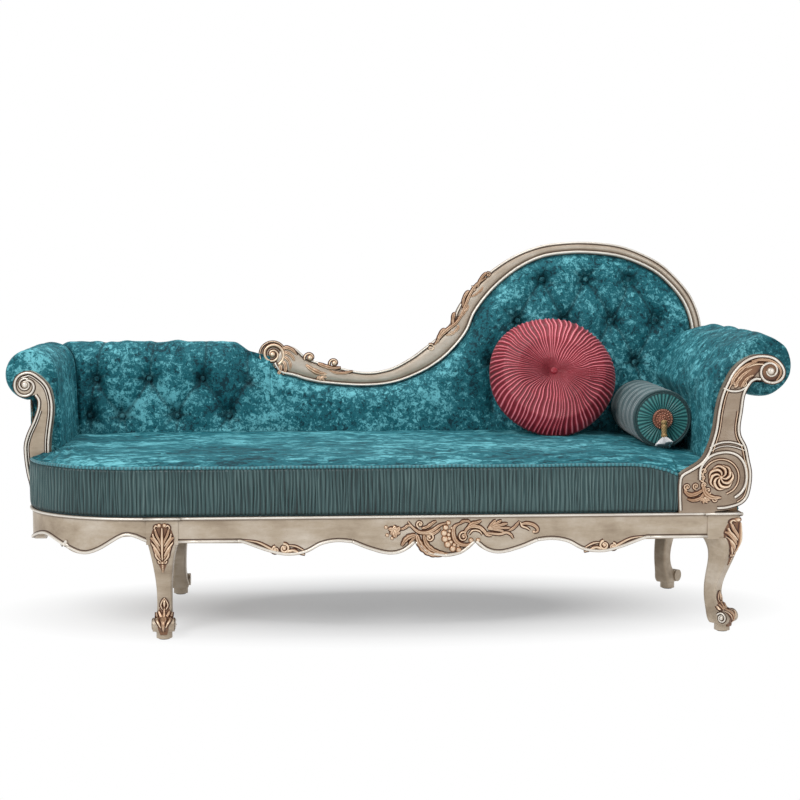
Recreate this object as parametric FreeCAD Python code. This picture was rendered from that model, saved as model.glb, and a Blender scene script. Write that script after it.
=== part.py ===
"""A carved fainting couch: one high back, a low back, two scrolled arms, cabriole legs.

Millimetres, +Z up, X along the couch, the front towards -Y. The model is drawn from the middle of
the front rail's face at floor level, and moved at the end so that the origin is the middle of the
bottom of its box.
"""
import FreeCAD
import Part
import os
from math import asin, cos, hypot, pi, radians, sin, sqrt

# Seat frame
FRAME_LENGTH = 1812.0          # outer face of the left end rail to that of the right end rail
FRAME_DEPTH = 618.0            # front rail's face to the back of the rear rail
RAIL_TOP = 312.0               # top of the rails above the floor
RAIL_BOTTOM = 247.0            # plain underside of the rails
RAIL_THICK = 28.0
REAR_RAIL_THICK = 40.0
CORNER_REACH = 315.0           # the rounded left corner, along the couch
CORNER_DEPTH = 230.0           # the same corner, front to back
LEFT_BLOCK = 79.0              # square block at the head of each left leg
RIGHT_BLOCK = 83.0
BLOCK_PROUD = 3.0              # the leg blocks stand this far in front of the rails

# Mouldings along the rails
BEAD_HEIGHT = 9.0
BEAD_PROUD = 7.0
APRON_MOULD_WIDTH = 8.0
APRON_MOULD_PROUD = 4.0

# Legs
GLIDE_RADIUS = 14.0
GLIDE_HEIGHT = 3.0
PAD_RADIUS = 20.0
PAD_HEIGHT = 20.0
PAD_FORWARD = 12.0             # the pad's middle, on the knee's side of the leg block's middle
TOE_RADIUS = 17.0
TOE_LENGTH = 54.0
LEAF_RELIEF = 4.0              # how far the leaf carvings stand off the leg
REAR_LEG_SETBACK = 81.0        # depth of the rear leg blocks, in front of the rear rail

# Screws and braces inside the frame
SCREW_RADIUS = 3.0
SCREW_HEAD_RADIUS = 6.0
SCREW_HEAD_HEIGHT = 3.0
SCREW_LENGTH = 62.0
SCREW_INSET = 16.0             # the screws lie this far inside the rail's back
BRACE_SIZE = 62.0
BRACE_HEIGHT = 40.0
CROSS_RAIL_WIDTH = 40.0
CROSS_RAIL_HEIGHT = 46.0
CROSS_RAIL_DROP = 6.0          # the cross rails lie this far below the rails' tops
DUST_COVER_THICK = 1.5

# Seat upholstery
WELT_RADIUS = 3.0              # dark welt between the rail and the seat band
WEB_THICK = 2.5
WEB_WIDTH = 50.0
WEB_COUNT = 7
BURLAP_THICK = 1.0
BAND_THICK = 9.0               # ruched band round the seat
BAND_OVERHANG = 4.0            # the band stands this far outside the rails
PIPING_HEIGHT = 435.0          # centre of the piping above the floor
PIPING_RADIUS = 4.0
FOAM_TOP = 424.0
SEAT_CROWN = 462.0             # highest part of the seat
SEAT_DROP = 4.0                # the seat's back edge lies this far below its highest part

# Arms
POST_THICK = 34.0
RIGHT_POST_FRONT = -5.0
LEFT_POST_FRONT = 200.0
BOARD_THICK = 22.0             # upholstered boards inside the arms and the low back
COVER_THICK = 3.0              # fabric panels outside and behind
LEFT_ROLL_RADIUS = 64.0
LEFT_ROLL_HEIGHT = 650.0
LEFT_PAD_DEPTH = 67.0          # from the centre of the roll to the inner face
RIGHT_ROLL_RADIUS = 78.0
RIGHT_ROLL_HEIGHT = 682.0
RIGHT_ROLL_OUT = 58.0          # the roll's centre is this far outside the end rail
RIGHT_PAD_INNER = 69.0         # inner face of the right arm, inside the end rail
CORNER_TURN = 100.0            # plan radius of the roll's centre at the left rear corner

# Backs
BACK_RAKE = 6.0                # degrees that the high back leans
BACK_FOOT_Y = 600.0            # the raked plane at the height below
BACK_FOOT_HEIGHT = 440.0
BACK_MIDDLE = 587.0            # middle of the high back, in from the right end rail
LOW_BACK_END = 612.0           # the low back stops this far left of that middle
LOW_BACK_ROLL_Y = 627.0        # centre of the low back's roll
CREST_FRONT = 12.0             # the crest's face stands in front of the raked plane
CREST_THICK = 50.0
CREST_VOLUTE_RADIUS = 40.0
STILE_THICK = 28.0
STILE_WIDTH = 50.0
BACK_WEB_THICK = 3.0
BACK_PAD_LOW = -42.0           # the padding goes down behind the seat to this height up the back
PAD_CROWN = 50.0               # the high back's padding at its thickest
CROWN_MIDDLE = 150.0           # height up the back of its thickest place
CROWN_ACROSS = 9000.0          # radius of that padding's face from side to side
CROWN_UP = 2600.0              # and from bottom to top

# Deep buttoning
BUTTON_RADIUS = 9.0
BUTTON_THICK = 5.0
PIT_RADIUS = 24.0
PIT_DEPTH = 16.0
CREASE_WIDTH = 12.0
CREASE_DEPTH = 5.0

# Loose pieces
CUSHION_RADIUS = 178.0
CUSHION_THICK = 116.0
CUSHION_LEAN = 27.0            # degrees
CUSHION_BUTTON_RADIUS = 13.0
BOLSTER_RADIUS = 78.0
BOLSTER_LENGTH = 318.0
BOLSTER_PIPING_RADIUS = 3.5
ROSETTE_RADIUS = 28.0
ROSETTE_THICK = 9.0
TASSEL_NECK_RADIUS = 9.0
TASSEL_NECK_LENGTH = 42.0
TASSEL_SKIRT_LENGTH = 18.0
SEAT_GAP = 0.3                 # a loose piece lies this far off what carries it

# Places that follow from these sizes
LEFT = -955.0                  # outer face of the left end rail, from the drawing's origin
RIGHT = LEFT + FRAME_LENGTH
CORNER_X = LEFT + CORNER_REACH
FRONT_LEFT = CORNER_X + LEFT_BLOCK
FRONT_RIGHT = RIGHT - RIGHT_BLOCK
RAIL_MIDDLE = (FRONT_LEFT + FRONT_RIGHT) / 2
REAR_INNER = FRAME_DEPTH - REAR_RAIL_THICK
WELT_TOP = RAIL_TOP + 2 * WELT_RADIUS
BURLAP_BOTTOM = RAIL_TOP + 2 * WEB_THICK
FOAM_BOTTOM = BURLAP_BOTTOM + BURLAP_THICK
LEFT_ROLL_X = LEFT - 2.0       # the left roll's centre stands just outside the end rail
LEFT_PAD_X = LEFT_ROLL_X + LEFT_PAD_DEPTH
RIGHT_PAD_X = RIGHT - RIGHT_PAD_INNER
LEFT_PAD_START = LEFT_POST_FRONT + POST_THICK
RIGHT_PAD_START = RIGHT_POST_FRONT + POST_THICK
BACK_X = RIGHT - BACK_MIDDLE
LOW_END_X = BACK_X - LOW_BACK_END
SEAT_BACK = LOW_BACK_ROLL_Y - LEFT_PAD_DEPTH
REAR_RIGHT_INNER = RIGHT - RAIL_THICK - LEFT_BLOCK
BAND_END = FRONT_RIGHT - 78.0  # the seat band ends against the right post here
ROLL_BOARD_TOP = LEFT_ROLL_HEIGHT - 10.0

X_AXIS = FreeCAD.Vector(1, 0, 0)
Y_AXIS = FreeCAD.Vector(0, 1, 0)
Z_AXIS = FreeCAD.Vector(0, 0, 1)


def vec(x, y, z):
    return FreeCAD.Vector(x, y, z)


def front(points, y, x0=0.0):
    """Points (x, z) of an upright plane that faces the front."""
    return [vec(x0 + x, y, z) for x, z in points]


def side(points, x):
    """Points (y, z) of an upright plane that faces an end."""
    return [vec(x, y, z) for y, z in points]


def edge(points):
    """A straight edge through two points, or a smooth one through more."""
    if len(points) == 2:
        return Part.makeLine(points[0], points[1])
    curve = Part.BSplineCurve()
    curve.interpolate(points)
    return curve.toShape()


def face(*runs):
    """A flat face whose outline is these runs of points, each starting where the last ended."""
    return Part.Face(Part.Wire([edge(run) for run in runs]))


def polygon(points):
    return Part.Face(Part.makePolygon(points + [points[0]]))


def box(x0, x1, y0, y1, z0, z1):
    return Part.makeBox(x1 - x0, y1 - y0, z1 - z0, vec(x0, y0, z0))


def rod(radius, length, start, direction):
    return Part.makeCylinder(radius, length, start, direction)


def ribbon_sides(points, widths, normal):
    """The two sides of a band of changing width whose middle runs through the points."""
    curve = Part.BSplineCurve()
    curve.interpolate(points)
    left, right = [], []
    for point, width in zip(points, widths):
        along = curve.tangent(curve.parameter(point))[0]
        across = along.cross(normal)
        left.append(point + across * (width / 2))
        right.append(point - across * (width / 2))
    return left, right


def ribbon(points, widths, normal):
    left, right = ribbon_sides(points, widths, normal)
    return face(left, [left[-1], right[-1]], right[::-1], [right[0], left[0]])


def carved(points, widths, y, thick, x0=0.0):
    """A flat scroll or leaf on a face at depth y, standing thick in front of it."""
    return ribbon(front(points, y, x0), widths, Y_AXIS).extrude(vec(0, -thick, 0))


def tube(path, radius, start, direction):
    """A round welt or piping along a path that starts at a point in a direction."""
    circle = Part.Wire(Part.makeCircle(radius, start, direction))
    return path.makePipeShell([circle], True, False)


def join(shapes):
    solid = shapes[0]
    for shape in shapes[1:]:
        solid = solid.fuse(shape)
    return solid.removeSplitter()


# Rails
def apron_half():
    """The shaped underside of the front rail, from its middle to where it runs straight."""
    return [[(0, 205), (42, 214), (76, 241)],
            [(76, 241), (106, 219), (142, 213), (190, 225), (235, 243)],
            [(235, 243), (272, 246), (310, 239), (350, 219), (398, 213), (445, 223), (505, 245)]]


def apron_runs(y):
    """Runs of the whole underside, from left to right."""
    half = [[(x, RAIL_BOTTOM - 247 + z) for x, z in run] for run in apron_half()]
    right = [front(run, y, RAIL_MIDDLE) for run in half]
    left = [front([(-x, z) for x, z in run][::-1], y, RAIL_MIDDLE) for run in half[::-1]]
    return left + right


def front_rail():
    under = apron_runs(0)
    first, last = under[0][0], under[-1][-1]
    low_left, low_right = vec(FRONT_LEFT, 0, RAIL_BOTTOM), vec(FRONT_RIGHT, 0, RAIL_BOTTOM)
    top_left, top_right = vec(FRONT_LEFT, 0, RAIL_TOP), vec(FRONT_RIGHT, 0, RAIL_TOP)
    outline = face([low_left, first], *under, [last, low_right], [low_right, top_right],
                   [top_right, top_left], [top_left, low_left])
    return outline.extrude(vec(0, RAIL_THICK, 0))


def corner_arc(outset, z, stop_y=CORNER_DEPTH):
    """The rounded corner, from the front rail round to a place on the left side."""
    reach, depth = CORNER_REACH + outset, CORNER_DEPTH + outset
    curve = Part.Ellipse(vec(CORNER_X, CORNER_DEPTH, z), reach, depth)
    end = pi + asin(min(1.0, (CORNER_DEPTH - stop_y) / depth))
    return Part.ArcOfEllipse(curve, end, 1.5 * pi).toShape()


def corner_slab(outer, inner, z0, z1):
    """A quarter ring in plan between two offsets of the rail's outer face."""
    out, core = corner_arc(outer, z0), corner_arc(inner, z0)
    ends = [Part.makeLine(core.Vertexes[i].Point, out.Vertexes[i].Point) for i in (0, 1)]
    ring = Part.Face(Part.Wire(Part.sortEdges([out, core] + ends)[0]))
    return ring.extrude(vec(0, 0, z1 - z0))


def corner_under():
    """The arched underside of the rounded corner, seen from the front."""
    drop = RAIL_BOTTOM - 247
    reach = CORNER_REACH / 315
    shape = [[(0, 250), (-35, 264), (-62, 262), (-121, 227), (-162, 216), (-206, 229)],
             [(-206, 229), (-228, 240), (-262, 254), (-290, 246), (-315, 226)]]
    return [[(x * reach, z + drop) for x, z in run] for run in shape]


def left_corner_rail():
    runs = [front(run, 0, CORNER_X) for run in corner_under()]
    start, end = runs[0][0], runs[-1][-1]
    top_end, top_start = vec(end.x, 0, RAIL_TOP), vec(start.x, 0, RAIL_TOP)
    curtain = face(*runs, [end, top_end], [top_end, top_start], [top_start, start])
    ring = corner_slab(0, -RAIL_THICK, RAIL_BOTTOM - 60, RAIL_TOP)
    return ring.common(curtain.extrude(vec(0, CORNER_DEPTH, 0)))


def left_end_rail():
    drop = RAIL_BOTTOM - 247
    lobe = [(CORNER_DEPTH, 226 + drop), (CORNER_DEPTH + 32, 216 + drop),
            (CORNER_DEPTH + 70, 228 + drop), (CORNER_DEPTH + 110, RAIL_BOTTOM)]
    curve = side(lobe, LEFT)
    far = vec(LEFT, REAR_INNER, RAIL_BOTTOM)
    top_far, top_near = vec(LEFT, REAR_INNER, RAIL_TOP), vec(LEFT, CORNER_DEPTH, RAIL_TOP)
    outline = face(curve, [curve[-1], far], [far, top_far], [top_far, top_near], [top_near, curve[0]])
    return outline.extrude(vec(RAIL_THICK, 0, 0))


def rear_rail():
    return box(LEFT, RIGHT, REAR_INNER, FRAME_DEPTH, RAIL_BOTTOM, RAIL_TOP)


def right_end_rail():
    return box(RIGHT - RAIL_THICK, RIGHT, RIGHT_BLOCK - BLOCK_PROUD, REAR_INNER, RAIL_BOTTOM, RAIL_TOP)


def rail_bead():
    """The applied bead along the top of the front rail and the rounded corner."""
    z0 = RAIL_TOP - BEAD_HEIGHT
    straight = box(FRONT_LEFT, FRONT_RIGHT, -BEAD_PROUD, 0, z0, RAIL_TOP)
    curved = corner_slab(BEAD_PROUD, 0, z0, RAIL_TOP)
    return Part.makeCompound([straight, curved])


def apron_edge_moulding():
    """The raised edge that follows the shaped underside of the front rail."""
    strips = []
    for run in apron_runs(0):
        raised = [point + vec(0, 0, APRON_MOULD_WIDTH) for point in run]
        strip = face(run, [run[-1], raised[-1]], raised[::-1], [raised[0], run[0]])
        strips.append(strip.extrude(vec(0, -APRON_MOULD_PROUD, 0)))
    return join(strips)


# Legs
def rounded_rectangle(u, half_width, half_depth, z):
    """A section of a leg with round corners, its middle u towards the knee's side."""
    r = 0.38 * min(half_width, half_depth)
    diagonal = r * (1 - sqrt(0.5))
    corners = [(1, 1), (-1, 1), (-1, -1), (1, -1)]
    edges = []
    for i, (sx, sy) in enumerate(corners):
        x, y = sx * half_width, -u + sy * half_depth
        along_x = vec(x - sx * r, y, z)
        along_y = vec(x, y - sy * r, z)
        middle = vec(x - sx * diagonal, y - sy * diagonal, z)
        first, last = (along_y, along_x) if i % 2 == 0 else (along_x, along_y)
        edges.append(Part.Arc(first, middle, last).toShape())
        nx, ny = corners[(i + 1) % 4]
        if i % 2 == 0:
            following = vec(nx * (half_width - r), y, z)
        else:
            following = vec(x, -u + ny * (half_depth - r), z)
        edges.append(Part.makeLine(last, following))
    return Part.Wire(edges)


def leg_sections():
    """Height as a share of the leg's height, place towards the knee's side, half width, half depth."""
    return [(1.00, 0, 38, 37), (0.945, 6, 34, 35), (0.88, 9, 30, 32), (0.76, 5, 25, 27),
            (0.62, -6, 21, 23), (0.46, -16, 19, 19), (0.32, -15, 18.5, 19), (0.19, -2, 21, 25),
            (0.13, 6, 24, 28), (0.085, 9, 22, 25)]


def leg_loft(relief=0.0):
    wires = []
    for share, u, half_width, half_depth in leg_sections():
        z = RAIL_BOTTOM * share
        wires.append(rounded_rectangle(u, half_width + relief, half_depth + relief, z))
    return Part.makeLoft(wires, True, False)


def cabriole_leg(block_width, block_depth, turn, x, y):
    """A leg whose knee faces -Y before it is turned, and its square block, which isn't turned."""
    loft = leg_loft()
    pad = rod(PAD_RADIUS, PAD_HEIGHT + 4, vec(0, -PAD_FORWARD, GLIDE_HEIGHT), Z_AXIS)
    toe_centre = vec(-TOE_LENGTH / 2, -PAD_FORWARD - 14, GLIDE_HEIGHT + PAD_HEIGHT + TOE_RADIUS - 2)
    toe = rod(TOE_RADIUS, TOE_LENGTH, toe_centre, X_AXIS)
    leg = join([loft, pad, toe])
    leg.rotate(vec(0, 0, 0), Z_AXIS, turn)
    leg.translate(vec(x, y, 0))
    block = box(x - block_width / 2, x + block_width / 2, y - block_depth / 2, y + block_depth / 2,
                RAIL_BOTTOM - 3, RAIL_TOP)
    return join([block, leg])


def leg_places():
    """Name, block width and depth, turn of the knee and middle of the block of each leg."""
    left_x, right_x = CORNER_X + LEFT_BLOCK / 2, RIGHT - RIGHT_BLOCK / 2
    front_left = LEFT_BLOCK / 2 - BLOCK_PROUD
    front_right = RIGHT_BLOCK / 2 - BLOCK_PROUD
    rear = REAR_INNER - REAR_LEG_SETBACK / 2
    rear_right_x = RIGHT - RAIL_THICK - LEFT_BLOCK / 2
    return {"front_left_leg": (LEFT_BLOCK, LEFT_BLOCK, 0, left_x, front_left),
            "front_right_leg": (RIGHT_BLOCK, RIGHT_BLOCK, 45, right_x, front_right),
            "rear_left_leg": (LEFT_BLOCK, REAR_LEG_SETBACK, 180, left_x, rear),
            "rear_right_leg": (LEFT_BLOCK, REAR_LEG_SETBACK, 135, rear_right_x, rear)}


def foot_glides():
    glides = []
    for width, depth, turn, x, y in leg_places().values():
        centre = vec(x + PAD_FORWARD * sin(radians(turn)), y - PAD_FORWARD * cos(radians(turn)), 0)
        glides.append(rod(GLIDE_RADIUS, GLIDE_HEIGHT, centre, Z_AXIS))
    return Part.makeCompound(glides)


def leg_leaf(outline, z_top, z_bottom, place):
    """A carved leaf on the knee's side of a leg: a raised skin cut to the leaf's outline."""
    width, depth, turn, x, y = place
    skin = leg_loft(LEAF_RELIEF).cut(leg_loft())
    half = [(share * z_top + (1 - share) * z_bottom, reach) for share, reach in outline]
    left = [vec(-reach, -120, z) for z, reach in half]
    right = [vec(reach, -120, z) for z, reach in half[::-1]]
    leaf = face(left, [left[-1], right[0]], right, [right[-1], left[0]])
    piece = skin.common(leaf.extrude(vec(0, 108, 0)))
    piece.rotate(vec(0, 0, 0), Z_AXIS, turn)
    piece.translate(vec(x, y, 0))
    return piece


def knee_leaf_carvings():
    outline = [(1.0, 26), (0.8, 22), (0.55, 12), (0.35, 10), (0.15, 6), (0.0, 2)]
    places = leg_places()
    return Part.makeCompound([leg_leaf(outline, RAIL_BOTTOM - 6, RAIL_BOTTOM * 0.56, places[name])
                              for name in ("front_left_leg", "front_right_leg")])


def foot_leaf_carvings():
    outline = [(0.0, 14), (0.35, 13), (0.7, 8), (1.0, 2)]
    places = leg_places()
    return Part.makeCompound([leg_leaf(outline, RAIL_BOTTOM * 0.46, RAIL_BOTTOM * 0.25, places[name])
                              for name in ("front_left_leg", "front_right_leg")])


# Braces and screws
def brace_places():
    """Corner of each triangular brace, and the way it points along X and Y."""
    return [(FRONT_LEFT, RAIL_THICK, 1, 1), (FRONT_RIGHT, RAIL_THICK, -1, 1),
            (FRONT_LEFT, REAR_INNER, 1, -1), (REAR_RIGHT_INNER, REAR_INNER, -1, -1)]


def brace_middle():
    return (RAIL_BOTTOM + RAIL_TOP) / 2


def screw_rod(radius, place, start, length):
    """A rod along X through a brace into the leg block beside it."""
    x, y, along_x, along_y = place
    at = vec(x + along_x * start, y + along_y * SCREW_INSET, brace_middle())
    return rod(radius, length, at, vec(-along_x, 0, 0))


def screw_seat():
    """Distance from the leg block to the flat that the screw's head bears on."""
    return BRACE_SIZE - SCREW_INSET - SCREW_HEAD_RADIUS - SCREW_HEAD_HEIGHT


def screw_bore(place):
    return screw_rod(SCREW_RADIUS, place, screw_seat(), SCREW_LENGTH)


def corner_blocks():
    braces = []
    for place in brace_places():
        x, y, along_x, along_y = place
        z0 = brace_middle() - BRACE_HEIGHT / 2
        plan = polygon([vec(x, y, z0), vec(x + along_x * BRACE_SIZE, y, z0),
                        vec(x, y + along_y * BRACE_SIZE, z0)])
        brace = plan.extrude(vec(0, 0, BRACE_HEIGHT)).cut(screw_bore(place))
        recess = screw_rod(SCREW_HEAD_RADIUS, place, BRACE_SIZE, BRACE_SIZE - screw_seat())
        braces.append(brace.cut(recess))
    return Part.makeCompound(braces)


def frame_screws():
    screws = []
    for place in brace_places():
        head = screw_rod(SCREW_HEAD_RADIUS, place, screw_seat() + SCREW_HEAD_HEIGHT, SCREW_HEAD_HEIGHT)
        screws.append(join([screw_bore(place), head]))
    return Part.makeCompound(screws)


def seat_cross_rails():
    z1 = RAIL_TOP - CROSS_RAIL_DROP
    z0 = z1 - CROSS_RAIL_HEIGHT
    span = FRONT_RIGHT - FRONT_LEFT
    rails = []
    for share in (0.28, 0.72):
        x = FRONT_LEFT + span * share
        rails.append(box(x, x + CROSS_RAIL_WIDTH, RAIL_THICK, REAR_INNER, z0, z1))
    return Part.makeCompound(rails)


# Seat
def seat_plan(inset, z):
    """The seat in plan, drawn in by inset from the band's outer face at the front and the left."""
    out = BAND_OVERHANG - inset
    corner = corner_arc(out, z, LEFT_POST_FRONT)
    bottom = max(corner.Vertexes, key=lambda vertex: vertex.Point.x).Point
    top = min(corner.Vertexes, key=lambda vertex: vertex.Point.x).Point
    turn, small = turn_centre(z), CORNER_TURN - LEFT_PAD_DEPTH
    diagonal = small * sqrt(0.5)
    pad_end = vec(LEFT_PAD_X, turn.y, z)
    back_start = vec(turn.x, SEAT_BACK, z)
    rear = arc(pad_end, vec(turn.x - diagonal, turn.y + diagonal, z), back_start)
    left = [top, vec(LEFT_PAD_X, LEFT_POST_FRONT, z), pad_end]
    right = [back_start, vec(RIGHT_PAD_X, SEAT_BACK, z), vec(RIGHT_PAD_X, RIGHT_PAD_START, z),
             vec(BAND_END, RIGHT_PAD_START, z), vec(BAND_END, bottom.y, z), bottom]
    lines = [Part.makeLine(a, b) for chain in (left, right) for a, b in zip(chain, chain[1:])]
    return Part.Face(Part.Wire(Part.sortEdges([corner, rear] + lines)[0]))


def seat_prism(inset, z0, z1):
    return seat_plan(inset, z0).extrude(vec(0, 0, z1 - z0))


def band_top_profile():
    """The piping's height along the front: level, and lower where it meets the right post."""
    return [(BAND_END - 100, PIPING_HEIGHT), (BAND_END - 60, PIPING_HEIGHT - 4),
            (BAND_END - 25, PIPING_HEIGHT - 15), (BAND_END, PIPING_HEIGHT - 26)]


def band_cutter(clearance=0.0):
    """Everything above the underside of the piping, less a clearance that grows where it slopes."""
    shares = (1.0, 1.1, 1.6, 3.0)
    drop = front([(x, z - PIPING_RADIUS - share * clearance)
                  for (x, z), share in zip(band_top_profile(), shares)], -60)
    level = vec(LEFT - 60, -60, drop[0].z)
    high_left, high_right = vec(LEFT - 60, -60, 560), vec(drop[-1].x, -60, 560)
    above = face([level, drop[0]], drop, [drop[-1], high_right], [high_right, high_left],
                 [high_left, level])
    return above.extrude(vec(0, 300, 0))


def seat_band_zone():
    """The strip in plan that the band fills: the front, and round the corner to the left post."""
    ring = seat_prism(0, WELT_TOP, PIPING_HEIGHT).cut(seat_prism(BAND_THICK, WELT_TOP, PIPING_HEIGHT))
    keep = box(LEFT - 60, BAND_END, -60, LEFT_POST_FRONT, WELT_TOP, PIPING_HEIGHT)
    return ring.common(keep)


def seat_border(post):
    return seat_band_zone().cut(band_cutter(SEAT_GAP)).cut(post)


def piping_path(inset, z, dipping):
    """The path of a welt round the corner and along the front."""
    out = BAND_OVERHANG - inset
    arc = corner_arc(out, z, LEFT_POST_FRONT - 1)
    start = min(arc.Vertexes, key=lambda vertex: vertex.Point.x).Point
    bottom = max(arc.Vertexes, key=lambda vertex: vertex.Point.x).Point
    edges = [arc]
    if dipping:
        profile = band_top_profile()
        dip = [vec(x, bottom.y, height) for x, height in profile]
        curve = Part.BSplineCurve()
        curve.interpolate(Points=dip, InitialTangent=X_AXIS, FinalTangent=vec(1, 0, -0.6))
        edges += [Part.makeLine(bottom, dip[0]), curve.toShape()]
    else:
        edges.append(Part.makeLine(bottom, vec(BAND_END - 2, bottom.y, z)))
    return Part.Wire(edges), start


def seat_top_piping(post):
    path, start = piping_path(PIPING_RADIUS, PIPING_HEIGHT, True)
    return tube(path, PIPING_RADIUS, start, vec(-0.03, -1, 0)).cut(post)


def seat_bottom_piping():
    path, start = piping_path(WELT_RADIUS + BAND_OVERHANG, RAIL_TOP + WELT_RADIUS, False)
    return tube(path, WELT_RADIUS, start, vec(-0.03, -1, 0))


def seat_webbing():
    strips = []
    first, last = CORNER_X + LEFT_BLOCK / 2, BAND_END - 80
    for i in range(WEB_COUNT):
        x = first + (last - first) * i / (WEB_COUNT - 1)
        strips.append(box(x, x + WEB_WIDTH, 2 * WELT_RADIUS + 4, REAR_INNER + 8,
                          RAIL_TOP, RAIL_TOP + WEB_THICK))
    left_end, right_end = LEFT + BOARD_THICK + 1, RIGHT - BOARD_THICK - 2
    for share in (0.42, 0.62, 0.82):
        y = REAR_INNER * share
        strips.append(box(left_end, right_end, y, y + WEB_WIDTH, RAIL_TOP + WEB_THICK, BURLAP_BOTTOM))
    return Part.makeCompound(strips)


def seat_burlap(post):
    return seat_prism(BAND_THICK + WELT_RADIUS, BURLAP_BOTTOM, FOAM_BOTTOM).cut(post)


def seat_foam(post):
    return seat_prism(BAND_THICK, FOAM_BOTTOM, FOAM_TOP).cut(post)


def seat_crown():
    """The seat's domed top: one profile from front to back, cut by another from end to end."""
    rise = SEAT_CROWN - PIPING_HEIGHT
    x0, x1 = LEFT - 40, RIGHT + 40
    front_y = -BAND_OVERHANG
    profile = side([(front_y, PIPING_HEIGHT), (front_y + 10, PIPING_HEIGHT + 0.28 * rise),
                    (front_y + 50, PIPING_HEIGHT + 0.72 * rise), (front_y + 150, SEAT_CROWN),
                    (front_y + 350, SEAT_CROWN - 1), (SEAT_BACK, SEAT_CROWN - SEAT_DROP)], x0)
    bottom = FOAM_TOP - 60
    low_front, low_back = vec(x0, front_y, bottom), vec(x0, SEAT_BACK, bottom)
    barrel = face(profile, [profile[-1], low_back], [low_back, low_front], [low_front, profile[0]])
    barrel = barrel.extrude(vec(x1 - x0, 0, 0))
    ends = front([(LEFT - 20, PIPING_HEIGHT + 2), (LEFT + 30, SEAT_CROWN - 9), (LEFT + 95, SEAT_CROWN - 1),
                  (LEFT + 500, SEAT_CROWN + 1), (RIGHT - 400, SEAT_CROWN + 1),
                  (RIGHT - 257, SEAT_CROWN - 4), (RIGHT - 157, SEAT_CROWN - 15),
                  (RIGHT_PAD_X + 30, SEAT_CROWN - 28)], -60)
    low_left, low_right = vec(ends[0].x, -60, bottom), vec(ends[-1].x, -60, bottom)
    saddle = face(ends, [ends[-1], low_right], [low_right, low_left], [low_left, ends[0]])
    return barrel.common(saddle.extrude(vec(0, 700, 0)))


def seat_body():
    """All of the seat that lies above the rails, as one domed solid."""
    return seat_prism(0, FOAM_TOP - 60, SEAT_CROWN + 10).common(seat_crown())


def seat_cover(post, piping):
    """The velvet top with its wadding: all that is above the foam and behind the piping."""
    bottom = FOAM_TOP - 26
    under = seat_prism(BAND_THICK, FOAM_TOP - 70, FOAM_TOP)
    band = seat_band_zone().cut(band_cutter())
    outside = seat_prism(0, FOAM_TOP - 70, FOAM_TOP).cut(under)
    outside = outside.cut(box(BAND_END - 100, BAND_END, -60, RIGHT_PAD_START, bottom, FOAM_TOP))
    return seat_body().cut(under).cut(band).cut(outside).cut(piping).cut(post)


def dust_cover():
    """Black cloth under the frame, tacked to the underside of the cross rails."""
    z1 = RAIL_TOP - CROSS_RAIL_DROP - CROSS_RAIL_HEIGHT
    return box(FRONT_LEFT + BRACE_SIZE, REAR_RIGHT_INNER - BRACE_SIZE, RAIL_THICK, REAR_INNER,
               z1 - DUST_COVER_THICK, z1)


# Arms
def right_post_outline(y):
    """The scrolled front post of the right arm, measured from the right end rail's face."""
    inner = [(-158, 315), (-160, 360), (-160, 397), (-156, 409)]
    shoulder = [(-156, 409), (-123, 428), (-100, 445), (-85, 470), (-70, 519), (-63, 570), (-54, 612),
                (-41, 643), (-27, 670), (-3, 695), (24, 709), (51, 712), (78, 706), (98, 689),
                (107, 669), (101, 650), (84, 639), (69, 638), (50, 649)]
    outer = [(50, 649), (25, 649), (14, 631), (4, 608), (-1, 569), (-6, 531), (-3, 507), (11, 480),
             (19, 446), (26, 411), (23, 372), (14, 345), (-4, 329), (-35, 319), (-66, 315)]
    rise = RAIL_TOP - 312
    runs = [[(x, z + rise) for x, z in run] for run in (inner, shoulder, outer)]
    placed = [front(run, y, RIGHT) for run in runs]
    foot_left, foot_right = vec(RIGHT - 158, y, RAIL_TOP), vec(RIGHT - 66, y, RAIL_TOP)
    return face(*placed, [placed[2][-1], foot_right], [foot_right, foot_left], [foot_left, placed[0][0]])


def right_arm_post():
    return right_post_outline(RIGHT_POST_FRONT).extrude(vec(0, POST_THICK, 0))


def left_post_outline(y):
    """The left arm's post, measured from the left end rail's face."""
    head = [(23, 600), (10, 601), (-3, 596), (-22, 598), (-37, 614), (-38, 640), (-24, 657), (3, 662),
            (28, 648), (49, 624), (59, 589), (60, 555), (53, 503), (50, 473), (50, 430)]
    stem = [(-1, 350), (-3, 370), (-9, 396), (-14, 434), (-15, 469), (-7, 499), (9, 534), (20, 564),
            (23, 590), (23, 600)]
    rise = RAIL_TOP - 312
    placed = [front([(x, z + rise) for x, z in run], y, LEFT) for run in (head, stem)]
    foot_right, foot_left = vec(LEFT + 50, y, RAIL_TOP), vec(LEFT + 4, y, RAIL_TOP)
    return face(placed[0], [placed[0][-1], foot_right], [foot_right, foot_left],
                [foot_left, placed[1][0]], placed[1])


def left_arm_post():
    return left_post_outline(LEFT_POST_FRONT).extrude(vec(0, POST_THICK, 0))


def arc(a, middle, b):
    return Part.Arc(a, middle, b).toShape()


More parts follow.
